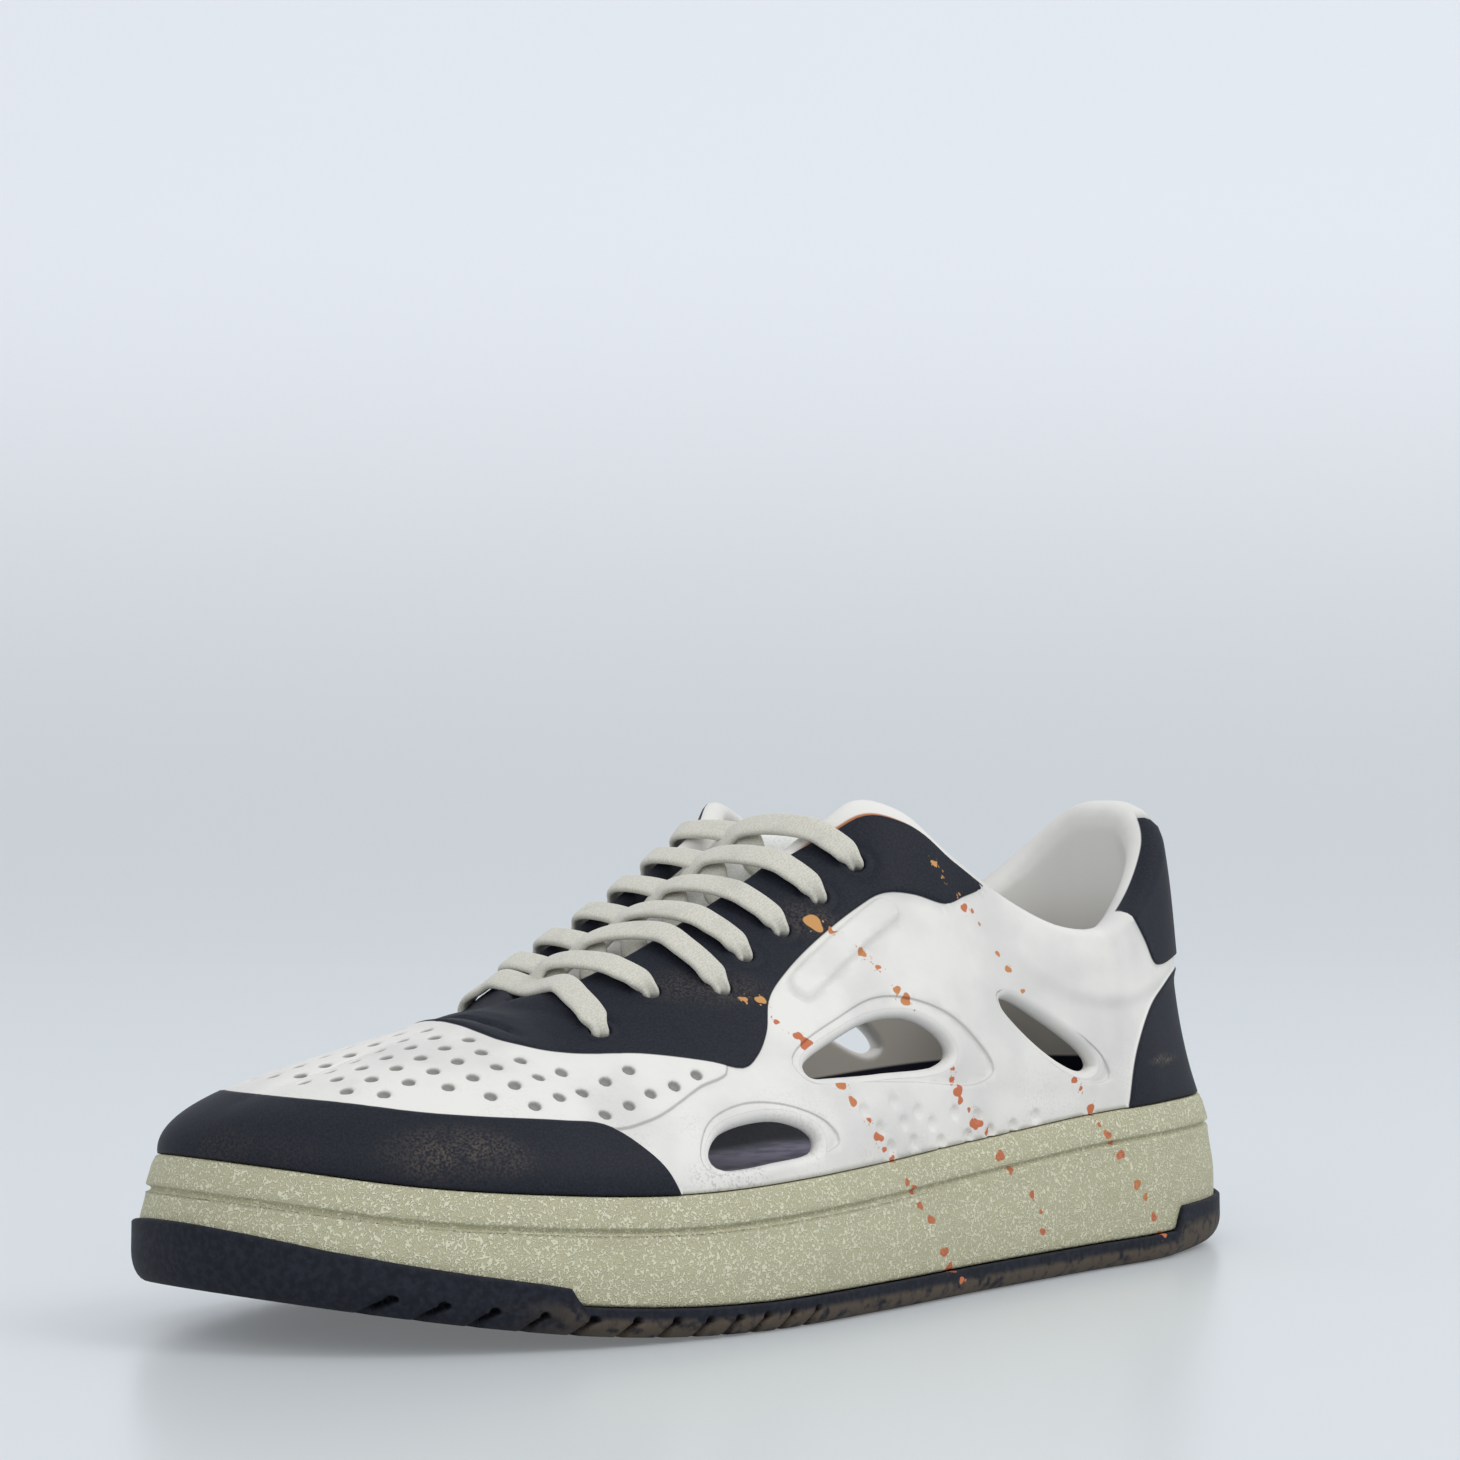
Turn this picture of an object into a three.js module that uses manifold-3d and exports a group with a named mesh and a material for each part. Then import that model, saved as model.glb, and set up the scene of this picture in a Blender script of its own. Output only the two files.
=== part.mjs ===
// A worn left sneaker: one hollow moulded foam upper on a two-part cup sole, with a tongue,
// a footbed and flat laces crossed over the throat. It stands empty on its sole.
// Millimetres. In the shoe's own frame x runs from the back of the heel to the toe,
// y to the outer (little toe) side and z up from the floor. The last lines of this file
// move the origin to the middle of the shoe's underside.

import * as THREE from "three";
import { mergeVertices } from "three/addons/utils/BufferGeometryUtils.js";
import Module from "manifold-3d";

const wasm = await Module();
wasm.setup();

// Driving dimensions of the sole
const LENGTH = 300; // sole outline at its side groove, heel to toe
const BALL_WIDTH = 112; // the same outline across the ball of the foot
const HEEL_STACK = 37.3; // floor to the upper's foot line at the heel
const TOE_SPRING = 12; // lift of the tread at the very toe
const TREAD_THICKNESS = 6; // rubber under the foot
const TREAD_FLARE = 3.1; // rubber outside the outline
const TREAD_ROUND = 3.6; // inset of the tread's contact edge from its side
const TOE_WRAP = 26; // height of the rubber round the toe, from the floor
const HEEL_WRAP = 12.5; // height of the rubber round the heel, from the floor
const WRAP_THICKNESS = 1.3;
const FOAM_FLARE = 1.5; // cup sole foam outside the outline, at its bottom
const GROOVE_DROP = 7.3; // side groove below the foot line
const GROOVE_DEPTH = 1.1;
const GROOVE_HEIGHT = 1.4;
const LEDGE = 3.2; // strip of foam left outside the upper
const EDGE_ROUND = 0.9;
const BAND_LEAN = 1.8; // the cup sole's top edge leans in over its side groove
const LUG_SLOT_WIDTH = 2.2;
const LUG_SLOT_DEPTH = 3.4; // height of a slot at the tread's side
const LUG_SLOT_REACH = 4.5; // how far a slot runs in from the side
const TREAD_GROOVE_DEPTH = 1.5; // the same slot's groove across the underside

// Driving dimensions of the upper
const UPPER_RISE = 72; // foot line at the heel to the collar's peaks
const FOOT_WALL = 4.5;
const VAMP_WALL = 4.5;
const COLLAR_WALL = 8;
const THROAT_ROUND = 2; // how far the rolled edge stands past the wall, at the throat
const COLLAR_ROUND = 5.5; // the same at the back of the collar
const COLLAR_SWELL = 1.4; // the padded collar outside the quarter
const PANEL_THICKNESS = 0.8; // navy panels above the foam round them
const VAMP_THICKNESS = 0.5; // dotted vamp above the quarter
const RECESS_DEPTH = 0.9; // dished rings round the side openings
const LABEL_WIDTH = 5.2;

// Driving dimensions of what lies inside and on top
const INSOLE_THICKNESS = 5;
const INSOLE_RIM = 1; // raised edge of the footbed
const INSOLE_SEAT = 4; // depth of the pocket it lies in
const INSOLE_MARGIN = 1.6; // from the upper's inner wall to the footbed
const TONGUE_FRONT = 3;
const TONGUE_TOP = 5.5;
const TONGUE_CROWN = 0.8; // rise of its middle in the open throat
const TONGUE_CLEARANCE = 1; // under the curved walls on each side of the throat
const LACE_WIDTH = 6.4;
const LACE_THICKNESS = 2;
const LACE_CLEARANCE = 0.5; // over the curved panel it lies on
const LACE_EDGE_HEIGHT = 1.2; // more of it where a lace turns over the throat's edge
const LACE_ARCH = 2.2; // rise of a crossing over the middle of the throat
const LACE_SINK = 2.7; // depth under the throat's edge at which a crossing starts
const EYELET_DIAMETER = 4.2;
const CLEARANCE = 0.3; // between pieces that touch on the real shoe

// How finely the curved skins are divided
const COLLAR_COLUMNS = 25;
const VAMP_COLUMNS = 9;
const OUTER_ROWS = 8;
const INNER_ROWS = 5;
const ROUND_STEPS = 3;
const SOLE_COLUMNS = 30;
const EYELET_SIDES = 6;

const THROAT_END = 0.73; // share of the half outline at which the throat stops

// Half outlines of the sole: shares of LENGTH and of BALL_WIDTH, heel to toe
const OUTER_OUTLINE = [
  [0, 0], [0.01, 0.112], [0.047, 0.248], [0.133, 0.348], [0.267, 0.393], [0.4, 0.439],
  [0.533, 0.498], [0.65, 0.532], [0.75, 0.511], [0.833, 0.449], [0.907, 0.343],
  [0.96, 0.205], [0.99, 0.055], [1, -0.07],
];
const INNER_OUTLINE = [
  [0, 0], [0.01, -0.118], [0.047, -0.25], [0.133, -0.335], [0.233, -0.34],
  [0.333, -0.335], [0.433, -0.353], [0.533, -0.393], [0.633, -0.442], [0.733, -0.473],
  [0.833, -0.469], [0.91, -0.415], [0.963, -0.321], [0.993, -0.196], [1, -0.07],
];
// Foot line: shares of LENGTH and of HEEL_STACK
const FOOT_LINE = [
  [0, 1], [0.2, 0.985], [0.4, 0.902], [0.6, 0.826], [0.733, 0.809], [0.833, 0.857],
  [0.917, 0.925], [1, 1.045],
];
// Underside: shares of LENGTH and of TOE_SPRING
const UNDERSIDE = [
  [0, 0.28], [0.06, 0.12], [0.13, 0.02], [0.18, 0], [0.66, 0], [0.73, 0.06],
  [0.8, 0.2], [0.87, 0.43], [0.94, 0.72], [1, 1],
];
// Where the rubber rises at the toe and at the heel: shares of LENGTH and of the two wraps
const TOE_RISE = [
  [0.8, 0], [0.823, 0.5], [0.84, 0.545], [0.884, 0.64], [0.924, 0.74], [0.958, 0.84], [1, 1],
];
const HEEL_RISE = [[0, 1], [0.135, 0.97], [0.155, 0]];
// Slots between the lugs, shares of LENGTH
const LUG_SLOTS = [
  0.625, 0.651, 0.677, 0.703, 0.729, 0.757, 0.788, 0.82, 0.853, 0.885, 0.915, 0.943,
];

// The upper's sections, from the heel (0) to the toe (1) along each half outline:
// station, top edge (x of LENGTH, y of BALL_WIDTH, z of UPPER_RISE above HEEL_STACK),
// foot handle of UPPER_RISE, its lean of BALL_WIDTH, top handle of UPPER_RISE,
// its fall in degrees, wall and edge round (both 0 at the throat, 1 at the heel)
const OUTER_SECTIONS = [
  [0, 0.057, 0, 0.933, 0.333, -0.098, 0.333, 76, 1, 1],
  [0.06, 0.062, 0.103, 0.912, 0.333, -0.085, 0.333, 76, 1, 0.86],
  [0.12, 0.09, 0.196, 0.808, 0.305, -0.054, 0.278, 82, 0.86, 0.57],
  [0.18, 0.143, 0.263, 0.649, 0.25, -0.013, 0.194, 84, 0.71, 0.29],
  [0.24, 0.2, 0.312, 0.558, 0.222, 0.018, 0.167, 80, 0.57, 0.23],
  [0.3, 0.267, 0.317, 0.586, 0.222, 0.018, 0.18, 76, 0.43, 0.14],
  [0.35, 0.323, 0.295, 0.704, 0.236, 0.013, 0.236, 68, 0.29, 0.06],
  [0.39, 0.367, 0.263, 0.845, 0.25, 0.009, 0.278, 62, 0.14, 0],
  [0.43, 0.405, 0.221, 0.98, 0.264, 0.004, 0.333, 55, 0.14, 0],
  [0.455, 0.433, 0.179, 1.01, 0.264, 0, 0.361, 50, 0.09, 0],
  [0.48, 0.46, 0.152, 0.942, 0.264, -0.004, 0.347, 45, 0.03, 0],
  [0.54, 0.527, 0.134, 0.774, 0.236, -0.004, 0.305, 38, 0, 0],
  [0.6, 0.6, 0.129, 0.635, 0.208, 0, 0.278, 32, 0, 0],
  [0.66, 0.667, 0.116, 0.517, 0.18, 0.004, 0.264, 26, 0, 0],
  [0.7, 0.71, 0.08, 0.449, 0.167, 0.009, 0.278, 18, 0, 0],
  [0.73, 0.733, 0, 0.412, 0.16, 0.009, 0.347, 8, 0, 0],
  [0.8, 0.783, -0.007, 0.371, 0.146, 0.013, 0.32, 5, 0, 0],
  [0.87, 0.827, -0.018, 0.319, 0.139, 0.013, 0.3, 5, 0, 0],
  [0.94, 0.853, -0.027, 0.282, 0.132, 0.011, 0.3, 8, 0, 0],
  [1, 0.867, -0.036, 0.2625, 0.125, 0.009, 0.305, 13, 0, 0],
];
const INNER_SECTIONS = [
  [0, 0.057, 0, 0.933, 0.333, -0.098, 0.333, 76, 1, 1],
  [0.06, 0.06, -0.103, 0.906, 0.333, -0.085, 0.333, 76, 1, 0.86],
  [0.12, 0.083, -0.196, 0.788, 0.305, -0.054, 0.278, 82, 0.86, 0.57],
  [0.18, 0.133, -0.259, 0.642, 0.25, -0.013, 0.194, 84, 0.71, 0.29],
  [0.24, 0.193, -0.29, 0.572, 0.222, 0.009, 0.167, 80, 0.57, 0.23],
  [0.3, 0.257, -0.295, 0.614, 0.222, 0.009, 0.18, 76, 0.43, 0.14],
  [0.35, 0.313, -0.277, 0.718, 0.236, 0.004, 0.236, 68, 0.29, 0.06],
  [0.39, 0.373, -0.259, 0.843, 0.25, 0, 0.278, 62, 0.14, 0],
  [0.43, 0.427, -0.232, 0.961, 0.264, -0.004, 0.333, 57, 0.14, 0],
  [0.455, 0.46, -0.192, 0.99, 0.264, -0.009, 0.361, 53, 0.09, 0],
  [0.48, 0.483, -0.156, 0.926, 0.264, -0.013, 0.347, 50, 0.03, 0],
  [0.54, 0.54, -0.134, 0.788, 0.25, -0.013, 0.305, 44, 0, 0],
  [0.6, 0.6, -0.129, 0.649, 0.222, -0.004, 0.278, 38, 0, 0],
  [0.66, 0.667, -0.116, 0.524, 0.194, 0.004, 0.264, 30, 0, 0],
  [0.7, 0.71, -0.08, 0.451, 0.18, 0.009, 0.278, 20, 0, 0],
  [0.73, 0.733, 0, 0.412, 0.167, 0.009, 0.347, 9, 0, 0],
  [0.8, 0.783, -0.007, 0.371, 0.153, 0.013, 0.32, 6, 0, 0],
  [0.87, 0.827, -0.018, 0.319, 0.139, 0.013, 0.3, 5, 0, 0],
  [0.94, 0.853, -0.027, 0.282, 0.132, 0.011, 0.3, 8, 0, 0],
  [1, 0.867, -0.036, 0.2625, 0.125, 0.009, 0.305, 13, 0, 0],
];
// Start of the padded collar's swell along each section: station, share of the height
const SWELL_START = [[0, 0.36], [0.1, 0.43], [0.2, 0.49], [0.3, 0.6], [0.4, 0.8]];

// Side views of the openings, dished rings and panels: x as a share of LENGTH,
// z as a share of UPPER_RISE above HEEL_STACK. The same shapes serve both sides of the shoe.
const MAIN_OPENING = [
  [0.577, 0.228], [0.53, 0.31], [0.491, 0.354], [0.455, 0.352], [0.422, 0.285],
  [0.413, 0.232], [0.429, 0.198], [0.495, 0.195], [0.55, 0.198], [0.574, 0.206],
];
const MAIN_RING = [
  [0.588, 0.245], [0.526, 0.365], [0.477, 0.42], [0.42, 0.366], [0.385, 0.27],
  [0.366, 0.165], [0.385, 0.128], [0.47, 0.155], [0.537, 0.174], [0.58, 0.187],
];
const REAR_OPENING = [
  [0.346, 0.383], [0.332, 0.387], [0.285, 0.297], [0.241, 0.18], [0.235, 0.14],
  [0.248, 0.125], [0.296, 0.205], [0.335, 0.322],
];
const REAR_RING = [
  [0.352, 0.4], [0.333, 0.41], [0.279, 0.307], [0.226, 0.17], [0.216, 0.1],
  [0.247, 0.089], [0.29, 0.16], [0.34, 0.31],
];
const FRONT_OPENING = [
  [0.696, -0.005], [0.683, 0.055], [0.65, 0.091], [0.612, 0.086], [0.584, 0.03],
  [0.587, -0.01], [0.635, -0.034], [0.688, -0.038],
];
const FRONT_RING = [
  [0.706, -0.005], [0.69, 0.085], [0.652, 0.138], [0.61, 0.125], [0.572, 0.06],
  [0.563, 0.005], [0.6, -0.034], [0.65, -0.053], [0.7, -0.046],
];
const TOE_CAP = [
  [0.72, -0.3], [0.735, -0.05], [0.75, 0.035], [0.768, 0.098], [0.8, 0.118],
  [0.85, 0.135], [0.885, 0.15], [0.94, 0.185], [1.03, 0.19], [1.05, -0.3],
];
const VAMP_PANEL = [
  [0.95, 0.1], [0.8, 0.1], [0.762, 0.088], [0.742, 0.1], [0.722, 0.12],
  [0.68, 0.187], [0.648, 0.235], [0.66, 0.4], [0.75, 0.7], [0.95, 0.6],
];
const EYESTAY = [
  [0.793, 0.6], [0.792, 0.35], [0.775, 0.307], [0.75, 0.286], [0.706, 0.282],
  [0.66, 0.254], [0.635, 0.231], [0.617, 0.265], [0.598, 0.33], [0.58, 0.42],
  [0.55, 0.503], [0.471, 0.681], [0.445, 0.728], [0.422, 0.722], [0.395, 0.69],
  [0.37, 0.705], [0.33, 0.77], [0.4, 1.3], [0.793, 1.3],
];
const HEEL_TAB = [
  [-0.05, 0.47], [0.08, 0.468], [0.12, 0.447], [0.135, 0.455], [0.148, 0.53],
  [0.163, 0.6], [0.2, 0.75], [0.2, 1.2], [-0.05, 1.2],
];
const HEEL_COUNTER = [
  [-0.05, 0.43], [0.06, 0.43], [0.09, 0.415], [0.115, 0.37], [0.145, 0.31],
  [0.167, 0.235], [0.182, 0.15], [0.19, 0.03], [0.192, -0.2], [-0.05, -0.2],
];
const LABEL_ENDS = [[0.547, 0.452], [0.449, 0.677]];
const LABEL_ARC = 6; // facets round each of its ends
// Eyelets from the toe up, as worn and pulled out of line: station and height along the
// section on the outer side, then on the inner
const EYELETS = [
  [0.695, 0.73, 0.695, 0.78], [0.65, 0.82, 0.657, 0.8], [0.604, 0.715, 0.622, 0.8],
  [0.578, 0.785, 0.586, 0.8], [0.546, 0.8, 0.55, 0.815], [0.51, 0.82, 0.513, 0.83],
  [0.476, 0.845, 0.477, 0.85],
];
// Stations of the first and last row along the middle of the throat
const LACING_STATIONS = [0.695, 0.478];

const OUTER = 1;
const INNER = -1;

// Smooth curve through rows of numbers, whose first column is the parameter
function slopes(rows) {
  const last = rows.length - 1;
  const gap = (i) => rows[i + 1][0] - rows[i][0];
  const rise = (i) => rows[i + 1].map((v, c) => (v - rows[i][c]) / gap(i));
  return rows.map((row, i) => {
    if (i === 0) return rise(0);
    if (i === last) return rise(last - 1);
    const before = rise(i - 1);
    const after = rise(i);
    const total = gap(i - 1) + gap(i);
    return before.map((b, c) => (gap(i) * b + gap(i - 1) * after[c]) / total);
  });
}

function curveThrough(rows, firstSlope, lastSlope) {
  const tangents = slopes(rows);
  if (firstSlope) tangents[0] = [1, ...firstSlope];
  if (lastSlope) tangents[rows.length - 1] = [1, ...lastSlope];
  return (at) => {
    const t = Math.min(Math.max(at, rows[0][0]), rows[rows.length - 1][0]);
    let i = rows.findIndex((row) => row[0] > t) - 1;
    if (i < 0) i = rows.length - 2;
    const h = rows[i + 1][0] - rows[i][0];
    const s = (t - rows[i][0]) / h;
    return rows[i].slice(1).map((v, c) => {
      const w = rows[i + 1][c + 1];
      const a = tangents[i][c + 1];
      const b = tangents[i + 1][c + 1];
      return (
        v * (1 + 2 * s) * (1 - s) ** 2 + w * s * s * (3 - 2 * s) +
        h * s * (1 - s) * (a * (1 - s) - b * s)
      );
    });
  };
}

// Straight lines through rows of two numbers
function lineThrough(rows) {
  return (at) => {
    const t = Math.min(Math.max(at, rows[0][0]), rows[rows.length - 1][0]);
    const i = Math.max(1, rows.findIndex((row) => row[0] >= t));
    const s = (t - rows[i - 1][0]) / (rows[i][0] - rows[i - 1][0]);
    return rows[i - 1][1] + s * (rows[i][1] - rows[i - 1][1]);
  };
}

const smooth = (from, to, at) => {
  const s = Math.min(Math.max((at - from) / (to - from), 0), 1);
  return s * s * (3 - 2 * s);
};

// Half outline: point and outward normal at a station, 0 at the heel and 1 at the toe.
// Stations are evenly spaced along its length.
function halfOutline(shares, side) {
  const points = shares.map(([x, y]) => [x * LENGTH, y * BALL_WIDTH]);
  let chord = 0;
  const rows = points.map((p, i) => {
    if (i > 0) chord += Math.hypot(p[0] - points[i - 1][0], p[1] - points[i - 1][1]);
    return [chord, ...p];
  });
  const curve = curveThrough(rows, [0, side], [0, -side]);
  const steps = 600;
  const run = [[0, 0]];
  let before = curve(0);
  for (let i = 1; i <= steps; i++) {
    const here = curve((chord * i) / steps);
    run.push([run[i - 1][0] + Math.hypot(here[0] - before[0], here[1] - before[1]), i / steps]);
    before = here;
  }
  const total = run[steps][0];
  const stationAt = lineThrough(run.map(([s, t]) => [s / total, t * chord]));
  const pointAt = (q) => curve(stationAt(q));
  const nudge = 0.003;
  return (q) => {
    const [x, y] = pointAt(q);
    const a = pointAt(Math.max(q - nudge, 0));
    const b = pointAt(Math.min(q + nudge, 1));
    const length = Math.hypot(b[0] - a[0], b[1] - a[1]);
    let along = [(b[0] - a[0]) / length, (b[1] - a[1]) / length];
    if (q <= 0) along = [0, side];
    if (q >= 1) along = [0, -side];
    return {
      point: new THREE.Vector3(x, y, 0),
      normal: new THREE.Vector3(-along[1] * side, along[0] * side, 0),
    };
  };
}

const outlines = {
  [OUTER]: halfOutline(OUTER_OUTLINE, OUTER),
  [INNER]: halfOutline(INNER_OUTLINE, INNER),
};
const footLineAt = curveThrough(FOOT_LINE);
const footLine = (x) => footLineAt(x / LENGTH)[0] * HEEL_STACK;
const undersideAt = curveThrough(UNDERSIDE);
const underside = (x) => Math.max(undersideAt(x / LENGTH)[0], 0) * TOE_SPRING;
const toeRise = lineThrough(TOE_RISE);
const heelRise = lineThrough(HEEL_RISE);
const treadTop = (x) => underside(x) + TREAD_THICKNESS;
// Top of the rubber seen from the side, never below the tread it wraps up from
const rubberTop = (x) => {
  const tread = treadTop(x) + CLEARANCE;
  const toe = toeRise(x / LENGTH) * TOE_WRAP;
  const heel = heelRise(x / LENGTH) * HEEL_WRAP;
  return Math.max(tread, toe, heel);
};

// The upper's outer skin at a station and a share of the way up its section
const sections = {
  [OUTER]: curveThrough(OUTER_SECTIONS),
  [INNER]: curveThrough(INNER_SECTIONS),
};
const swellStart = lineThrough(SWELL_START);

// Top edge of a section: beyond the throat both sides end on one line over the vamp
function topPoint(q, side) {
  const shares = sections[side](q);
  const others = q >= THROAT_END ? sections[-side](q) : shares;
  const [x, y, z] = shares.map((share, i) => (share + others[i]) / 2);
  return new THREE.Vector3(x * LENGTH, y * BALL_WIDTH, HEEL_STACK + z * UPPER_RISE);
}

function skinPoint(q, v, side) {
  const [a, lean, c, fall] = sections[side](q).slice(3);
  const { point, normal } = outlines[side](q);
  const foot = point.clone().addScaledVector(normal, -LEDGE);
  foot.z = footLine(point.x);
  const top = topPoint(q, side);
  const angle = (fall * Math.PI) / 180;
  const low = foot.clone().addScaledVector(normal, lean * BALL_WIDTH);
  low.z += a * UPPER_RISE;
  const high = top.clone().addScaledVector(normal, Math.cos(angle) * c * UPPER_RISE);
  high.z -= Math.sin(angle) * c * UPPER_RISE;
  return new THREE.CubicBezierCurve3(foot, low, high, top).getPoint(v);
}

function oneNormal(q, v, side) {
  const nudge = 0.002;
  const q0 = Math.max(q - nudge, 0);
  const q1 = Math.min(q + nudge, 1);
  const v0 = Math.max(v - nudge, 0);
  const v1 = Math.min(v + nudge, 1);
  const along = skinPoint(q1, v, side).sub(skinPoint(q0, v, side));
  const up = skinPoint(q, v1, side).sub(skinPoint(q, v0, side));
  return up.cross(along).multiplyScalar(side).normalize();
}

// Outward normal, shared by both sides where they meet: heel, toe and the line over the vamp
function skinNormal(q, v, side) {
  const normal = oneNormal(q, v, side);
  const seam = q <= 0 || q >= 1 || (v >= 1 && q >= THROAT_END);
  return seam ? normal.add(oneNormal(q, v, -side)).normalize() : normal;
}

const sectionExtra = (q, side) => sections[side](q).slice(7);
const wallAt = (q, v, side) => {
  const top = VAMP_WALL + (COLLAR_WALL - VAMP_WALL) * Math.max(sectionExtra(q, side)[0], 0);
  return FOOT_WALL + (top - FOOT_WALL) * smooth(0, 0.8, v);
};
const roundAt = (q, side) =>
  THROAT_ROUND + (COLLAR_ROUND - THROAT_ROUND) * Math.max(sectionExtra(q, side)[1], 0);
const swellAt = (q, v) => {
  const start = swellStart(q);
  return COLLAR_SWELL * smooth(start, start + 0.1, v) * (1 - smooth(0.26, 0.4, q));
};

// Collects triangles and welds them into one closed solid
class Skin {
  constructor() {
    this.numbers = [];
  }
  triangle(a, b, c) {
    for (const p of [a, b, c]) this.numbers.push(p.x, p.y, p.z);
  }
  quad(a, b, c, d) {
    this.triangle(a, b, c);
    this.triangle(a, c, d);
  }
  // Joins two rows of points, each row running the same way round
  strip(low, high, closed) {
    const count = closed ? low.length : low.length - 1;
    for (let i = 0; i < count; i++) {
      const j = (i + 1) % low.length;
      this.quad(low[j], low[i], high[i], high[j]);
    }
  }
  solid() {
    const raw = new THREE.BufferGeometry();
    raw.setAttribute("position", new THREE.Float32BufferAttribute(this.numbers, 3));
    const welded = mergeVertices(raw, 1e-3);
    const index = welded.index.array;
    const kept = [];
    for (let i = 0; i < index.length; i += 3) {
      const [a, b, c] = [index[i], index[i + 1], index[i + 2]];
      if (a !== b && b !== c && c !== a) kept.push(a, b, c);
    }
    return solidFrom(welded.attributes.position.array, kept);
  }
}

function solidFrom(positions, triangles) {
  const mesh = new wasm.Mesh({
    numProp: 3,
    vertProperties: Float32Array.from(positions),
    triVerts: Uint32Array.from(triangles),
  });
  return new wasm.Manifold(mesh);
}

function solidOf(geometry) {
  const bare = geometry.clone();
  bare.deleteAttribute("normal");
  bare.deleteAttribute("uv");
  const welded = mergeVertices(bare, 1e-4);
  return solidFrom(welded.attributes.position.array, welded.index.array);
}

function geometryOf(solid) {
  const mesh = solid.getMesh();
  const geometry = new THREE.BufferGeometry();
  geometry.setAttribute("position", new THREE.BufferAttribute(mesh.vertProperties, 3));
  geometry.setIndex(new THREE.BufferAttribute(mesh.triVerts, 1));
  return geometry;
}

// Ring of points round the whole shoe: up the outer side to the toe, back along the inner
function soleRing(inset, height, columns = SOLE_COLUMNS) {
  const at = (q, side) => {
    const { point, normal } = outlines[side](q);
    const z = height(point.x);
    const p = point.clone().addScaledVector(normal, -inset);
    p.z = z;
    return p;
  };
  const ring = [];
  for (let i = 0; i <= columns; i++) ring.push(at(i / columns, OUTER));
  for (let i = columns - 1; i > 0; i--) ring.push(at(i / columns, INNER));
  return ring;
}

// Closes a ring with cross strips from its outer half to its inner half
function cap(skin, ring, up) {
  const half = ring.length / 2;
  const inner = (i) => ring[(ring.length - i) % ring.length];
  for (let i = 0; i < half; i++) {
    const corners = [ring[i], ring[i + 1], inner(i + 1), inner(i)];
    if (up) corners.reverse();
    skin.quad(...corners);
  }
}

// Solid through a list of rings, from its underside out and round to its top
function ringSolid(rings) {
  const skin = new Skin();
  cap(skin, rings[0], false);
  for (let i = 1; i < rings.length; i++) skin.strip(rings[i - 1], rings[i], true);
  cap(skin, rings[rings.length - 1], true);
  return skin.solid();
}

// Shell of the upper between two offsets of its skin, each a function of q, v and side.
// Its edge is rolled round the collar and throat by the given height.
function upperShell(outOffset, inOffset, roll) {
  const collar = Array.from({ length: COLLAR_COLUMNS }, (_, i) => (THROAT_END * i) / COLLAR_COLUMNS);
  const vamp = Array.from(
    { length: VAMP_COLUMNS + 1 },
    (_, i) => THROAT_END + ((1 - THROAT_END) * i) / VAMP_COLUMNS,
  );
  const stations = [...collar, ...vamp];
  const loop = [
    ...stations.map((q) => [q, OUTER]),
    ...stations.slice(1, -1).reverse().map((q) => [q, INNER]),
  ];
  const at = (q, v, side, offset) => {
    const point = skinPoint(q, v, side);
    point.addScaledVector(skinNormal(q, v, side), offset(q, v, side));
    point.z = Math.max(point.z, skinPoint(q, 0, side).z);
    return point;
  };
  const row = (v, offset) => loop.map(([q, side]) => at(q, v, side, offset));
  const skin = new Skin();
  const outer = Array.from({ length: OUTER_ROWS + 1 }, (_, i) => row(i / OUTER_ROWS, outOffset));
  const inner = Array.from({ length: INNER_ROWS + 1 }, (_, i) => row(i / INNER_ROWS, inOffset));
  for (let i = 0; i < OUTER_ROWS; i++) skin.strip(outer[i], outer[i + 1], true);
  for (let i = 0; i < INNER_ROWS; i++) skin.strip(inner[i + 1], inner[i], true);
  skin.strip(inner[0], outer[0], true);
  const edge = [
    ...[...collar, THROAT_END].map((q) => [q, OUTER]),
    ...collar.slice(1).reverse().map((q) => [q, INNER]),
  ];
  const outside = edge.map(([q, side]) => at(q, 1, side, outOffset));
  const inside = edge.map(([q, side]) => at(q, 1, side, inOffset));
  let before = outside;
  for (let step = 1; step <= ROUND_STEPS; step++) {
    const angle = (Math.PI * step) / ROUND_STEPS;
    const next = edge.map(([q, side], i) => {
      if (step === ROUND_STEPS) return inside[i];
      const ahead = outside[(i + 1) % edge.length];
      const behind = outside[(i - 1 + edge.length) % edge.length];
      const along = ahead.clone().sub(behind).normalize();
      const across = outside[i].clone().sub(inside[i]);
      const out = across.clone().cross(along).normalize().negate();
      const middle = outside[i].clone().add(inside[i]).multiplyScalar(0.5);
      return middle
        .addScaledVector(across, Math.cos(angle) / 2)
        .addScaledVector(out, Math.sin(angle) * roll(q, side));
    });
    skin.strip(before, next, true);
    before = next;
  }
  return skin.solid();
}

// Solid right through the shoe from side to side, over a side view
function sideways(shares, rounded) {
  const points = shares.map(
    ([x, z]) => new THREE.Vector2(x * LENGTH, HEEL_STACK + z * UPPER_RISE),
  );
  let outline = points;
  if (rounded) {
    const curve = new THREE.CatmullRomCurve3(
      points.map((p) => new THREE.Vector3(p.x, p.y, 0)),
      true,
      "centripetal",
    );
    outline = curve.getPoints(points.length * 2).slice(0, -1);
  }
  const shape = new THREE.Shape(outline.map((p) => new THREE.Vector2(p.x, p.y)));
  const width = 2 * BALL_WIDTH;
  const block = new THREE.ExtrudeGeometry(shape, { depth: width, bevelEnabled: false });
  block.translate(0, 0, -width / 2);
  block.rotateX(Math.PI / 2);
  return solidOf(block);
}

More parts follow.
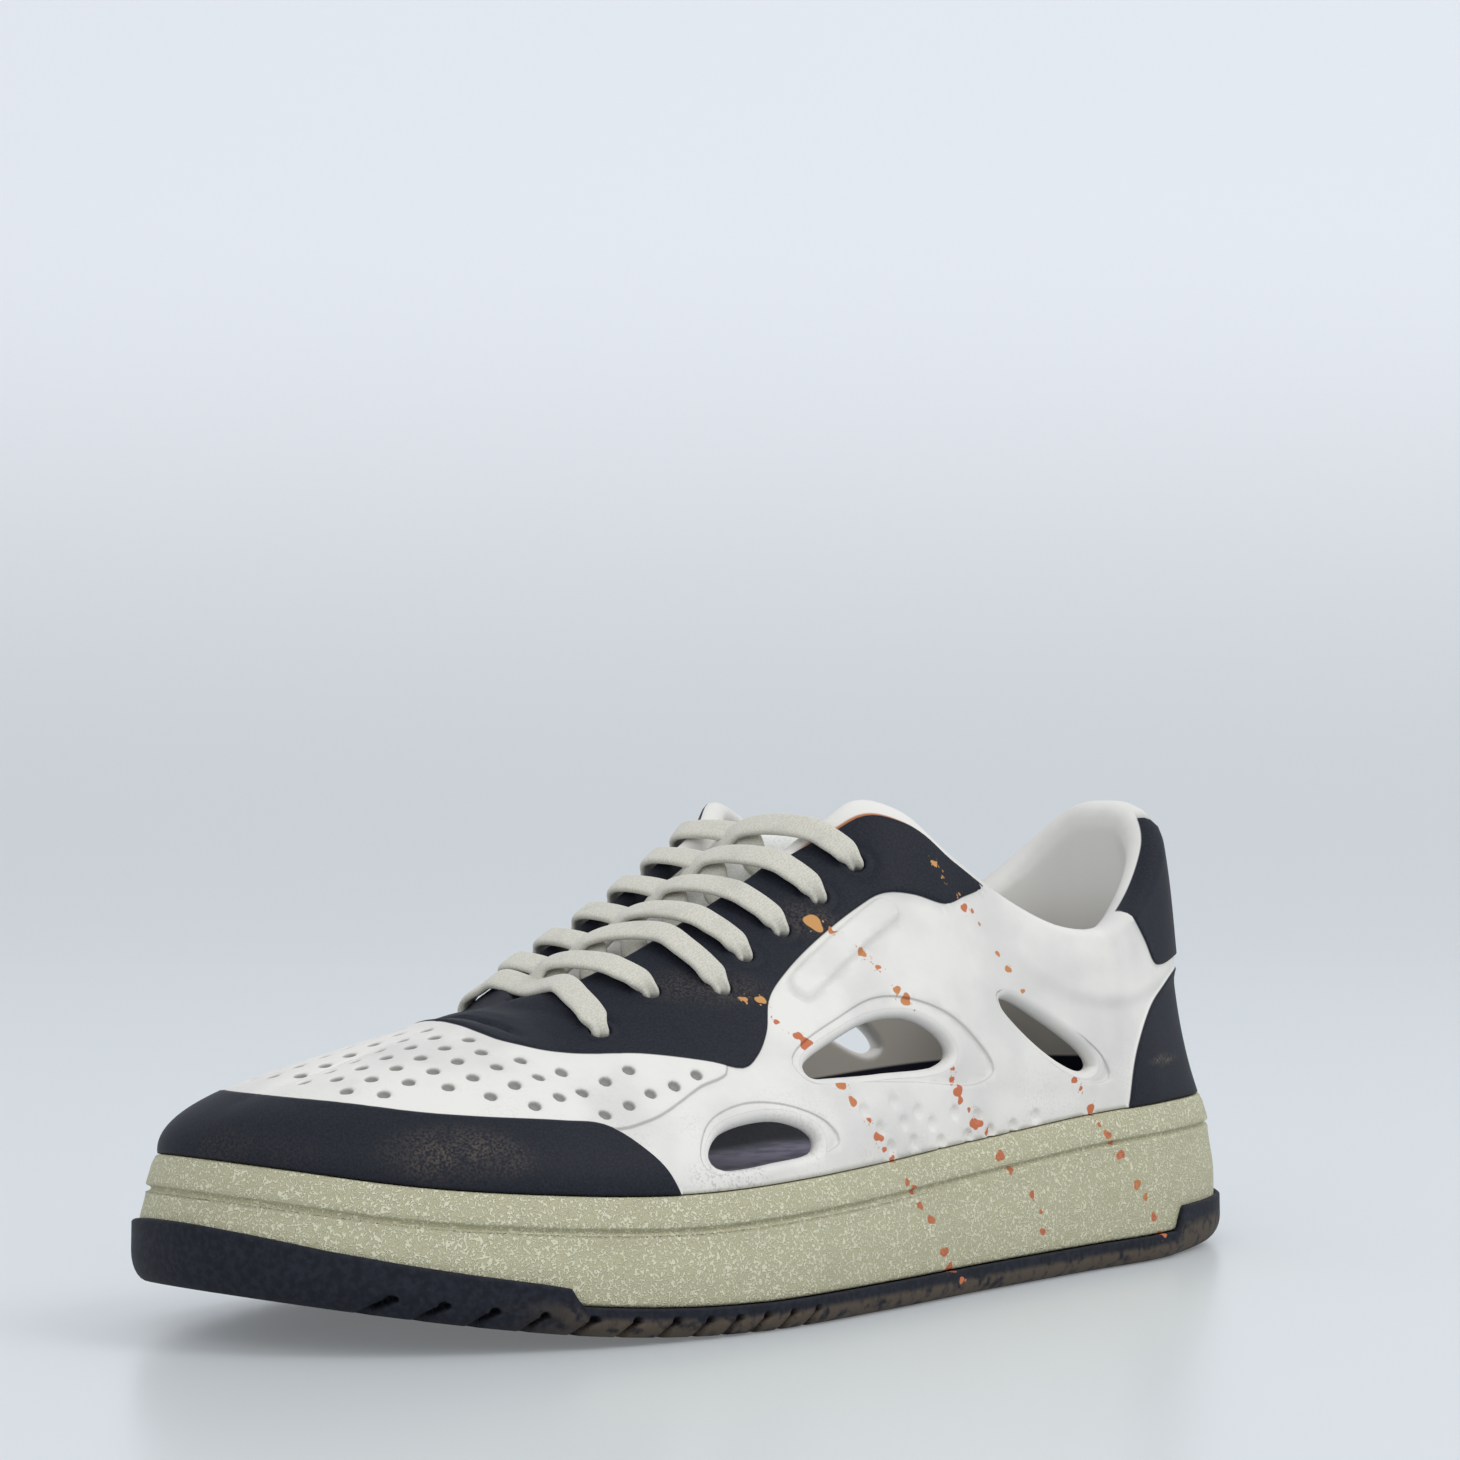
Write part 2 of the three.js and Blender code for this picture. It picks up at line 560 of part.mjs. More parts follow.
const onOuterSide = () => {
  const block = new THREE.BoxGeometry(4 * LENGTH, 2 * BALL_WIDTH, 4 * UPPER_RISE);
  block.translate(0, BALL_WIDTH, 0);
  return solidOf(block);
};

// Upper: one foam shell with its panels, dished rings, openings and eyelets
function makeUpper() {
  const body = (q, v) => swellAt(q, v);
  const wall = (q, v, side) => -wallAt(q, v, side);
  const raised = (step) =>
    upperShell((q, v) => body(q, v) + step, () => -FOOT_WALL / 3, () => 0.5 * THROAT_ROUND);
  const wholeRoll = (q, side) => roundAt(q, side);
  let upper = upperShell(body, wall, wholeRoll);
  const vamp = raised(VAMP_THICKNESS).intersect(sideways(VAMP_PANEL, false));
  const panels = raised(PANEL_THICKNESS);
  upper = upper.add(vamp);
  for (const panel of [TOE_CAP, EYESTAY, HEEL_TAB, HEEL_COUNTER])
    upper = upper.add(panels.intersect(sideways(panel, false)));
  const label = upperShell((q, v) => body(q, v) + 2 * PANEL_THICKNESS, () => -FOOT_WALL / 3, () => 0);
  upper = upper.add(label.intersect(sideways(labelOutline(), false)).intersect(onOuterSide()));
  const dish = upperShell(() => 2 * FOOT_WALL, (q, v) => body(q, v) - RECESS_DEPTH, () => 0);
  for (const ring of [MAIN_RING, REAR_RING, FRONT_RING])
    upper = upper.subtract(dish.intersect(sideways(ring, true)));
  for (const opening of [MAIN_OPENING, REAR_OPENING, FRONT_OPENING])
    upper = upper.subtract(sideways(opening, true));
  for (let row = 0; row < EYELETS.length; row++)
    for (const side of [OUTER, INNER]) upper = upper.subtract(eyeletHole(row, side));
  return upper;
}

// Bare capsule along the edge of the outer eyestay, as shares like the other side views
function labelOutline() {
  const [low, high] = LABEL_ENDS.map(([x, z]) => [x * LENGTH, z * UPPER_RISE]);
  const length = Math.hypot(high[0] - low[0], high[1] - low[1]);
  const along = [(high[0] - low[0]) / length, (high[1] - low[1]) / length];
  const radius = LABEL_WIDTH / 2;
  const outline = [];
  for (const [end, turn] of [[high, -1], [low, 1]])
    for (let i = 0; i <= LABEL_ARC; i++) {
      const angle = Math.PI * (i / LABEL_ARC - 0.5);
      const x = Math.cos(angle) * along[0] - Math.sin(angle) * along[1];
      const z = Math.cos(angle) * along[1] + Math.sin(angle) * along[0];
      outline.push([(end[0] - turn * x * radius) / LENGTH, (end[1] - turn * z * radius) / UPPER_RISE]);
    }
  return outline;
}

const lacingStation = (row) => {
  const [first, last] = LACING_STATIONS;
  return first + ((last - first) * row) / (EYELETS.length - 1);
};
const eyelet = (row, side) => (side === OUTER ? EYELETS[row].slice(0, 2) : EYELETS[row].slice(2));

function eyeletHole(row, side) {
  const [q, v] = eyelet(row, side);
  const middle = skinPoint(q, v, side);
  const normal = skinNormal(q, v, side);
  const radius = EYELET_DIAMETER / 2;
  const pin = new THREE.CylinderGeometry(radius, radius, 4 * VAMP_WALL, EYELET_SIDES);
  const up = new THREE.Vector3(0, 1, 0);
  pin.applyQuaternion(new THREE.Quaternion().setFromUnitVectors(up, normal));
  pin.translate(middle.x, middle.y, middle.z);
  return solidOf(pin);
}

// Rubber tread, turned up round the toe and the heel
function makeOutsole() {
  const part = (share) => (x) => underside(x) + share * (rubberTop(x) - underside(x));
  const rings = [
    soleRing(TREAD_ROUND - TREAD_FLARE, underside),
    soleRing(-0.75 * TREAD_FLARE, part(0.22)),
    soleRing(-TREAD_FLARE, part(0.5)),
    soleRing(-TREAD_FLARE + 0.2, rubberTop),
    soleRing(-TREAD_FLARE + WRAP_THICKNESS, rubberTop),
    soleRing(-TREAD_FLARE + WRAP_THICKNESS, treadTop),
  ];
  let outsole = ringSolid(rings);
  for (const share of LUG_SLOTS) outsole = outsole.subtract(lugSlot(share * LENGTH));
  return outsole;
}

// Slot in both sides of the tread at x, with a shallower groove between them
function lugSlot(x) {
  const edge = (side) => {
    const samples = 20 * LUG_SLOTS.length;
    const points = Array.from({ length: samples + 1 }, (_, i) => outlines[side](i / samples).point);
    return points.reduce((a, b) => (Math.abs(b.x - x) < Math.abs(a.x - x) ? b : a)).y;
  };
  const left = edge(OUTER) - LUG_SLOT_REACH;
  const right = edge(INNER) + LUG_SLOT_REACH;
  const floor = underside(x);
  const slope = (underside(x + 1) - underside(x - 1)) / 2;
  const box = (y0, y1, height) => {
    const block = new THREE.BoxGeometry(LUG_SLOT_WIDTH, y1 - y0, 2 * height);
    block.rotateY(-Math.atan(slope));
    block.translate(x, (y0 + y1) / 2, floor);
    return solidOf(block);
  };
  return box(-BALL_WIDTH, BALL_WIDTH, TREAD_GROOVE_DEPTH)
    .add(box(left, BALL_WIDTH, LUG_SLOT_DEPTH))
    .add(box(-BALL_WIDTH, right, LUG_SLOT_DEPTH));
}

// Foam cup sole: flared sides, a thin groove under its top edge, a pocket for the footbed
const INSOLE_INSET = LEDGE + FOOT_WALL + INSOLE_MARGIN;
const POCKET_INSET = INSOLE_INSET - CLEARANCE;
function makeMidsole() {
  const bottom = (x) => treadTop(x) + CLEARANCE;
  const groove = (x) => footLine(x) - GROOVE_DROP;
  const between = (share) => (x) => bottom(x) + share * (groove(x) - bottom(x));
  const above = (rise) => (x) => groove(x) + rise;
  const top = (x) => footLine(x) - CLEARANCE;
  const under = (drop) => (x) => top(x) - drop;
  return ringSolid([
    soleRing(EDGE_ROUND - FOAM_FLARE, bottom),
    soleRing(-FOAM_FLARE, between(0.06)),
    soleRing(-FOAM_FLARE, between(0.45)),
    soleRing(-0.5 * FOAM_FLARE, between(0.8)),
    soleRing(0, above(-GROOVE_HEIGHT / 2)),
    soleRing(GROOVE_DEPTH, above(0)),
    soleRing(0, above(GROOVE_HEIGHT / 2)),
    soleRing(BAND_LEAN, under(EDGE_ROUND)),
    soleRing(BAND_LEAN + EDGE_ROUND, under(0)),
    soleRing(POCKET_INSET, under(0)),
    soleRing(POCKET_INSET, under(INSOLE_SEAT)),
  ]);
}

// Footbed in the cup sole's pocket, its edge raised a little
function makeInsole() {
  const seat = (x) => footLine(x) - INSOLE_SEAT;
  const above = (rise) => (x) => seat(x) + rise;
  return ringSolid([
    soleRing(INSOLE_INSET + EDGE_ROUND, seat),
    soleRing(INSOLE_INSET, above(EDGE_ROUND)),
    soleRing(INSOLE_INSET, above(INSOLE_THICKNESS + INSOLE_RIM - EDGE_ROUND)),
    soleRing(INSOLE_INSET + EDGE_ROUND, above(INSOLE_THICKNESS + INSOLE_RIM)),
    soleRing(INSOLE_INSET + 4 * EDGE_ROUND, above(INSOLE_THICKNESS)),
  ]);
}

// Tongue: a padded strip that fits under both edges of the throat
const TONGUE_STATIONS = [0.79, 0.467];
const TONGUE_ROWS = 12;
const TONGUE_REACH = [0.76, 0.97]; // where its sides end and where they leave the wall
const TONGUE_COLUMNS = 4;
function tongueRow(q, drop) {
  const [low, high] = TONGUE_REACH;
  const under = (v, side) => {
    const depth = wallAt(q, v, side) + TONGUE_CLEARANCE + drop;
    return skinPoint(q, v, side).addScaledVector(skinNormal(q, v, side), -depth);
  };
  const heights = Array.from(
    { length: TONGUE_COLUMNS },
    (_, i) => low + ((high - low) * i) / (TONGUE_COLUMNS - 1),
  );
  const outer = heights.map((v) => under(v, OUTER));
  const inner = heights.map((v) => under(v, INNER)).reverse();
  const from = outer[outer.length - 1];
  const to = inner[0];
  const rise = TONGUE_CROWN * smooth(0, 4 * TONGUE_TOP, from.distanceTo(to));
  const crown = [1, 2, 3].map((i) => {
    const p = from.clone().lerp(to, i / 4);
    p.z += rise * (1 - (i / 2 - 1) ** 2);
    return p;
  });
  return [...outer, ...crown, ...inner];
}
function makeTongue() {
  const skin = new Skin();
  const [front, back] = TONGUE_STATIONS;
  const rows = Array.from({ length: TONGUE_ROWS + 1 }, (_, i) => {
    const share = i / TONGUE_ROWS;
    const q = front + (back - front) * share;
    const thick = TONGUE_FRONT + (TONGUE_TOP - TONGUE_FRONT) * share;
    return [...tongueRow(q, 0), ...tongueRow(q, thick).reverse()];
  });
  for (let i = 0; i < TONGUE_ROWS; i++) skin.strip(rows[i], rows[i + 1], true);
  const count = rows[0].length / 2;
  for (let i = 0; i < count - 1; i++) {
    const [a, b] = [rows[0], rows[TONGUE_ROWS]];
    const other = (k) => 2 * count - 1 - k;
    skin.quad(a[i], a[i + 1], a[other(i + 1)], a[other(i)]);
    skin.quad(b[i + 1], b[i], b[other(i)], b[other(i + 1)]);
  }
  return skin.solid();
}

// A flat lace strip along a list of points, its broad side facing the given way at each one
function strip(points, facings) {
  const skin = new Skin();
  const path = new THREE.CatmullRomCurve3(points);
  const faces = new THREE.CatmullRomCurve3(facings);
  const steps = 2 * (points.length - 1);
  const flat = LACE_WIDTH / 2 - LACE_THICKNESS / 2;
  const section = [
    [-LACE_WIDTH / 2, 0], [-flat, -LACE_THICKNESS / 2], [flat, -LACE_THICKNESS / 2],
    [LACE_WIDTH / 2, 0], [flat, LACE_THICKNESS / 2], [-flat, LACE_THICKNESS / 2],
  ];
  const rings = Array.from({ length: steps + 1 }, (_, i) => {
    const t = i / steps;
    const along = path.getTangent(t);
    const face = faces.getPoint(t);
    const across = along.clone().cross(face).normalize();
    const out = across.clone().cross(along).normalize();
    return section.map(([x, y]) =>
      path.getPoint(t).addScaledVector(across, x).addScaledVector(out, y));
  });
  for (let i = 0; i < steps; i++) skin.strip(rings[i], rings[i + 1], true);
  for (let i = 1; i < section.length - 1; i++) {
    skin.triangle(rings[0][0], rings[0][i], rings[0][i + 1]);
    skin.triangle(rings[steps][0], rings[steps][i + 1], rings[steps][i]);
  }
  return skin.solid();
}

// Height of a lace's middle over the skin it lies on
const laceLift = PANEL_THICKNESS + LACE_CLEARANCE + LACE_THICKNESS / 2;
// A share of the way from the throat's edge (0) down to the eyelet (1). A slanting lace
// comes over the edge nearer to the row before.
function overEyestay(row, share, side, slant) {
  const [station, height] = eyelet(row, side);
  const pitch = lacingStation(0) - lacingStation(1);
  const q = station + slant * LACE_SLANT * pitch * (1 - share);
  const v = 1 + (height - 1) * share;
  const normal = skinNormal(q, v, side);
  const lift = laceLift + LACE_EDGE_HEIGHT * smooth(1, 0, share);
  return { point: skinPoint(q, v, side).addScaledVector(normal, lift), normal };
}
function throatMiddle(row) {
  const q = lacingStation(row);
  const a = skinPoint(q, 1, OUTER);
  const b = skinPoint(q, 1, INNER);
  return a.add(b).multiplyScalar(0.5);
}

// Direction that faces up out of the throat, square to its slope
function throatUp(row) {
  const q = lacingStation(row);
  return skinNormal(q, 1, OUTER).add(skinNormal(q, 1, INNER)).normalize();
}
const LACE_SLANT = 0.45; // how far before its own row a lace meets the edge, of a row's pitch
const EDGE_STOPS = [0, 0.35, 0.7, 1];
const overEdge = (row, side, slant) =>
  EDGE_STOPS.map((share) => overEyestay(row, share, side, slant));

function makeLaceBar() {
  const outer = overEdge(0, OUTER, 0).reverse();
  const inner = overEdge(0, INNER, 0);
  const middle = { point: throatMiddle(0), normal: throatUp(0) };
  middle.point.addScaledVector(middle.normal, laceLift + PANEL_THICKNESS);
  const stops = [...outer, middle, ...inner];
  return strip(stops.map((s) => s.point), stops.map((s) => s.normal));
}

const LACE_START = 0.4; // share of the way from the throat's middle to its edge

// One crossing: from under one edge of the throat, over the other and down to its eyelet
function crossingHalf(row, side) {
  const up = throatUp(row);
  const start = throatMiddle(row);
  start.lerp(skinPoint(lacingStation(row), 1, -side), LACE_START);
  start.addScaledVector(up, -LACE_SINK);
  const middle = throatMiddle(row + 0.5);
  middle.addScaledVector(up, LACE_ARCH);
  const stops = overEdge(row + 1, side, 1);
  return strip(
    [start, middle, ...stops.map((s) => s.point)],
    [up, up, ...stops.map((s) => s.normal)],
  );
}
const makeCrossing = (row) => crossingHalf(row, OUTER).add(crossingHalf(row, INNER));

// Materials, as worn
const material = (color, roughness) =>
  new THREE.MeshStandardMaterial({ color, roughness, metalness: 0 });
const foamWhite = material(0xdcdcda, 0.62);
const foamCream = material(0xcbcbaa, 0.7);
const rubberNavy = material(0x34343f, 0.6);
const footbedNavy = material(0x1c1e2a, 0.9);
const laceWhite = material(0xd2d0c6, 0.9);
const tongueWhite = material(0xe4e3de, 0.85);

const pieces = [
  ["outsole", makeOutsole(), rubberNavy],
  ["midsole", makeMidsole(), foamCream],
  ["insole", makeInsole(), footbedNavy],
  ["upper", makeUpper(), foamWhite],
  ["tongue", makeTongue(), tongueWhite],
  ["lace_bar", makeLaceBar(), laceWhite],
];
for (let row = 0; row < EYELETS.length - 1; row++)
  pieces.push([`lace_cross_${row + 1}`, makeCrossing(row), laceWhite]);

const shoe = new THREE.Group();
for (const [name, solid, finish] of pieces) {
  const mesh = new THREE.Mesh(geometryOf(solid), finish);
  mesh.name = name;
  shoe.add(mesh);
}
// The origin is the middle of the underside of the whole shoe's box
const bounds = new THREE.Box3().setFromObject(shoe);
const middle = bounds.getCenter(new THREE.Vector3());
shoe.position.set(-middle.x, -middle.y, -bounds.min.z);

export default shoe;
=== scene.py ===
"""A worn left sneaker: a moulded foam upper on a two-part cup sole, dressed over its frame.

Shapes are worked out in millimetres in the shoe's own frame: x from the back of the heel to
the toe, y to the outer side, z up from the floor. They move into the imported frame, in metres,
when their meshes are made.
"""

import bpy
import numpy as np
from mathutils import Matrix, Vector


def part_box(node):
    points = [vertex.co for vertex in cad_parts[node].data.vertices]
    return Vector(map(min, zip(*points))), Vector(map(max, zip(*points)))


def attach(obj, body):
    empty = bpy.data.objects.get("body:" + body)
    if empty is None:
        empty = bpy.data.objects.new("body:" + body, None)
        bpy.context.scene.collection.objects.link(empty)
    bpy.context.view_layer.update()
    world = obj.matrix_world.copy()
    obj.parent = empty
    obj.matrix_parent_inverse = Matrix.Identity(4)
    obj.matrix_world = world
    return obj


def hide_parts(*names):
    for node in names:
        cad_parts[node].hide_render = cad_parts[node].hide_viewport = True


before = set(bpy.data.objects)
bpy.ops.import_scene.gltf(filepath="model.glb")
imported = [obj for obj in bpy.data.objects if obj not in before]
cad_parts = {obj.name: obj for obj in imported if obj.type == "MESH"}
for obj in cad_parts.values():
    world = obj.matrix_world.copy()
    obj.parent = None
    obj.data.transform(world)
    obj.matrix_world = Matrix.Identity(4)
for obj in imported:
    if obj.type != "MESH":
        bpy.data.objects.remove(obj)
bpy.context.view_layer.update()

# Driving dimensions of the sole
LENGTH = 300.0
BALL_WIDTH = 112.0
HEEL_STACK = 37.3
TOE_SPRING = 12.0
TREAD_THICKNESS = 6.0
TREAD_FLARE = 3.1
TREAD_ROUND = 3.6
TOE_WRAP = 26.0
HEEL_WRAP = 12.5
WRAP_THICKNESS = 1.3
FOAM_FLARE = 1.5
GROOVE_DROP = 7.3
GROOVE_DEPTH = 1.1
GROOVE_HEIGHT = 1.4
LEDGE = 3.2
EDGE_ROUND = 0.9
BAND_LEAN = 1.8  # the midsole's top edge leans in over its side groove
LUG_SLOT_WIDTH = 2.2
LUG_SLOT_DEPTH = 3.4
LUG_SLOT_LEAN = 2.6  # how far the top of a slot leans to the heel
LUG_SLOT_REACH = 2.8
TREAD_GROOVE_DEPTH = 1.5

# Driving dimensions of the upper
UPPER_RISE = 72.0
FOOT_WALL = 4.5
VAMP_WALL = 4.5
COLLAR_WALL = 8.0
TOE_LEAN = (0.28, -0.03, 0.96)  # way out of the skin where its two sides meet over the toe
THROAT_ROUND = 2.0
COLLAR_ROUND = 5.5
COLLAR_SWELL = 1.4
PANEL_THICKNESS = 0.8
VAMP_THICKNESS = 0.5
RECESS_DEPTH = 0.9
LABEL_WIDTH = 5.2
LABEL_RISE = 1.6
OPENING_LIP = 1.8  # half width of the rounded edge of an opening
OPENING_LIP_WIDTH = 2.2  # of the raised rim between an opening and its dished ring
OPENING_LIP_SHARE = 0.75  # how much of the ring's depth that rim makes up
EYELET_DIAMETER = 4.2
EYELET_LIP = 0.6
EYELET_RING = 4.4  # radius of the faint ring pressed round an eyelet
EYELET_RING_DEPTH = 0.3
EYELET_RING_WIDTH = 0.7
DOT_RADIUS = 1.7  # dimples over the vamp
DOT_DEPTH = 1.1
DOT_PITCH = 6.6  # between two of a row; rows lie a little closer
DOT_ROW_PITCH = 0.93 * DOT_PITCH
DOT_ROWS = 7  # on each side of the middle
DOT_COLUMNS = 11
DOT_START = 0.938  # share of LENGTH where the middle row starts
DOT_SWEEP = 0.0075  # how the rows start further back with the toe's curve
DIMPLE_DEPTH = 0.8 * DOT_DEPTH  # dimples over the lower quarter

# Driving dimensions of what lies inside and on top
INSOLE_THICKNESS = 5.0
INSOLE_RIM = 1.0
INSOLE_SEAT = 4.0
INSOLE_MARGIN = 1.6
TONGUE_FRONT = 3.0
TONGUE_TOP = 5.5
TONGUE_CROWN = 0.8
TONGUE_CLEARANCE = 1.6
LACE_WIDTH = 6.4
LACE_THICKNESS = 1.9
LACE_CLEARANCE = 0.3
LACE_EDGE_HEIGHT = 1.0
LACE_ARCH = 2.2
LACE_SINK = 2.7
LACE_SLANT = 0.45  # how far before its own row a lace meets the edge, of a row's pitch
LACE_START = 0.45  # share of the way from the throat's middle to its edge
LACE_OVERLAP = 0.55  # of its thickness, by which strands clear each other where they cross
LACE_GATHER = (0.8, 4.6)  # how near a hole it is all gathered, and where that starts
LACE_NARROWING = 0.4  # share of its width lost there
LACE_THICKENING = 0.3
LACE_FOLD = (0.7, 0.22)  # depth and width of the fold along its middle there
LACE_ROUNDING = (0.45, 0.8)  # of its section, across and up: 1 is an ellipse, 0 a square
EDGE_STOPS = (0, 0.38, 0.74)  # of a lace, on its way from the throat's edge to the eyelet
HOLE_STOPS = (-0.3, 3, VAMP_WALL + 1)  # of a lace, down through an eyelet
HOLE_NUDGE = 0.03
CLEARANCE = 0.3

# Stations run along each side, 0 at the heel and 1 at the toe
THROAT_END = 0.73
TONGUE_STATIONS = (0.79, 0.467)
TONGUE_REACH = (0.76, 0.97)  # where its sides end and where they leave the wall
TONGUE_SEAM = (0.86, 0.02, 0.5)  # place and width over its half width, share of padding lost
TONGUE_ROUNDING = (12, 40)  # the higher, the later its sides and its ends thin out

# How finely the nets are cut
THROAT_STEPS = 144
TOE_STEPS = 52
UPPER_ROWS = 43
ROLL_STEPS = 8
RIM_PASSES = 4
SOLE_STEPS = 240
INSOLE_STEPS = 150
TONGUE_STEPS = 90
TONGUE_COLUMNS = 56
LACE_STEPS = 14  # from one stop to the next
LACE_CORNERS = 28

# Depths and distances where nothing is near
OFF_DROP = -8.0
OFF_LABEL = -9.0
OFF_PANEL = -12.0
OFF_DOT = 20.0
OFF_SLOT = -20.0
INSIDE_NAVY = -6.0
FAR = 1e3

# Half outlines of the sole: shares of LENGTH and of BALL_WIDTH, heel to toe
OUTER_OUTLINE = [
    [0, 0], [0.01, 0.112], [0.047, 0.248], [0.133, 0.348], [0.267, 0.393], [0.4, 0.439],
    [0.533, 0.498], [0.65, 0.532], [0.75, 0.511], [0.833, 0.449], [0.907, 0.343],
    [0.96, 0.205], [0.99, 0.055], [1, -0.07],
]
INNER_OUTLINE = [
    [0, 0], [0.01, -0.118], [0.047, -0.25], [0.133, -0.335], [0.233, -0.34],
    [0.333, -0.335], [0.433, -0.353], [0.533, -0.393], [0.633, -0.442], [0.733, -0.473],
    [0.833, -0.469], [0.91, -0.415], [0.963, -0.321], [0.993, -0.196], [1, -0.07],
]
# Foot line and underside: shares of LENGTH, and of HEEL_STACK or TOE_SPRING
FOOT_LINE = [
    [0, 1], [0.2, 0.985], [0.4, 0.902], [0.6, 0.826], [0.733, 0.809], [0.833, 0.857],
    [0.917, 0.925], [1, 1.045],
]
UNDERSIDE = [
    [0, 0.28], [0.06, 0.12], [0.13, 0.02], [0.18, 0], [0.66, 0], [0.73, 0.06],
    [0.8, 0.2], [0.87, 0.43], [0.94, 0.72], [1, 1],
]
TOE_RISE = [
    [0.8, 0], [0.823, 0.5], [0.84, 0.545], [0.884, 0.64], [0.924, 0.74], [0.958, 0.84], [1, 1],
]
HEEL_RISE = [[0, 1], [0.135, 0.97], [0.155, 0]]
# Up across the side groove: shares of GROOVE_HEIGHT and of GROOVE_DEPTH
GROOVE_FORM = [
    [-0.7, 0], [-0.5, 0.12], [-0.25, 0.85], [0, 1], [0.25, 0.85], [0.5, 0.12], [0.7, 0],
]
LUG_SLOTS = [
    0.625, 0.651, 0.677, 0.703, 0.729, 0.757, 0.788, 0.82, 0.853, 0.885, 0.915, 0.943,
]

# The upper's sections: station, top edge (x of LENGTH, y of BALL_WIDTH, z of UPPER_RISE
# above HEEL_STACK), foot handle of UPPER_RISE, its lean of BALL_WIDTH, top handle of
# UPPER_RISE, its fall in degrees, wall and edge round (0 at the throat, 1 at the heel)
OUTER_SECTIONS = [
    [0, 0.057, 0, 0.933, 0.333, -0.098, 0.333, 76, 1, 1],
    [0.06, 0.062, 0.103, 0.912, 0.333, -0.085, 0.333, 76, 1, 0.86],
    [0.12, 0.09, 0.196, 0.808, 0.305, -0.054, 0.278, 82, 0.86, 0.57],
    [0.18, 0.143, 0.263, 0.649, 0.25, -0.013, 0.194, 84, 0.71, 0.29],
    [0.24, 0.2, 0.312, 0.558, 0.222, 0.018, 0.167, 80, 0.57, 0.23],
    [0.3, 0.267, 0.317, 0.586, 0.222, 0.018, 0.18, 76, 0.43, 0.14],
    [0.35, 0.323, 0.295, 0.704, 0.236, 0.013, 0.236, 68, 0.29, 0.06],
    [0.39, 0.367, 0.263, 0.845, 0.25, 0.009, 0.278, 62, 0.14, 0],
    [0.43, 0.405, 0.221, 0.98, 0.264, 0.004, 0.333, 55, 0.14, 0],
    [0.455, 0.433, 0.179, 1.01, 0.264, 0, 0.361, 50, 0.09, 0],
    [0.48, 0.46, 0.152, 0.942, 0.264, -0.004, 0.347, 45, 0.03, 0],
    [0.54, 0.527, 0.134, 0.774, 0.236, -0.004, 0.305, 38, 0, 0],
    [0.6, 0.6, 0.129, 0.635, 0.208, 0, 0.278, 32, 0, 0],
    [0.66, 0.667, 0.116, 0.517, 0.18, 0.004, 0.264, 26, 0, 0],
    [0.7, 0.71, 0.08, 0.449, 0.167, 0.009, 0.278, 18, 0, 0],
    [0.73, 0.733, 0, 0.412, 0.16, 0.009, 0.347, 8, 0, 0],
    [0.8, 0.783, -0.007, 0.371, 0.146, 0.013, 0.32, 5, 0, 0],
    [0.87, 0.827, -0.018, 0.319, 0.139, 0.013, 0.3, 5, 0, 0],
    [0.94, 0.853, -0.027, 0.282, 0.132, 0.011, 0.3, 8, 0, 0],
    [1, 0.867, -0.036, 0.2625, 0.125, 0.009, 0.305, 13, 0, 0],
]
INNER_SECTIONS = [
    [0, 0.057, 0, 0.933, 0.333, -0.098, 0.333, 76, 1, 1],
    [0.06, 0.06, -0.103, 0.906, 0.333, -0.085, 0.333, 76, 1, 0.86],
    [0.12, 0.083, -0.196, 0.788, 0.305, -0.054, 0.278, 82, 0.86, 0.57],
    [0.18, 0.133, -0.259, 0.642, 0.25, -0.013, 0.194, 84, 0.71, 0.29],
    [0.24, 0.193, -0.29, 0.572, 0.222, 0.009, 0.167, 80, 0.57, 0.23],
    [0.3, 0.257, -0.295, 0.614, 0.222, 0.009, 0.18, 76, 0.43, 0.14],
    [0.35, 0.313, -0.277, 0.718, 0.236, 0.004, 0.236, 68, 0.29, 0.06],
    [0.39, 0.373, -0.259, 0.843, 0.25, 0, 0.278, 62, 0.14, 0],
    [0.43, 0.427, -0.232, 0.961, 0.264, -0.004, 0.333, 57, 0.14, 0],
    [0.455, 0.46, -0.192, 0.99, 0.264, -0.009, 0.361, 53, 0.09, 0],
    [0.48, 0.483, -0.156, 0.926, 0.264, -0.013, 0.347, 50, 0.03, 0],
    [0.54, 0.54, -0.134, 0.788, 0.25, -0.013, 0.305, 44, 0, 0],
    [0.6, 0.6, -0.129, 0.649, 0.222, -0.004, 0.278, 38, 0, 0],
    [0.66, 0.667, -0.116, 0.524, 0.194, 0.004, 0.264, 30, 0, 0],
    [0.7, 0.71, -0.08, 0.451, 0.18, 0.009, 0.278, 20, 0, 0],
    [0.73, 0.733, 0, 0.412, 0.167, 0.009, 0.347, 9, 0, 0],
    [0.8, 0.783, -0.007, 0.371, 0.153, 0.013, 0.32, 6, 0, 0],
    [0.87, 0.827, -0.018, 0.319, 0.139, 0.013, 0.3, 5, 0, 0],
    [0.94, 0.853, -0.027, 0.282, 0.132, 0.011, 0.3, 8, 0, 0],
    [1, 0.867, -0.036, 0.2625, 0.125, 0.009, 0.305, 13, 0, 0],
]
# Padding of the collar: share of the section where it starts, and stations where it thins out
SWELL_START = [[0, 0.36], [0.1, 0.43], [0.2, 0.49], [0.3, 0.6], [0.4, 0.8]]
SWELL_END = (0.26, 0.4)

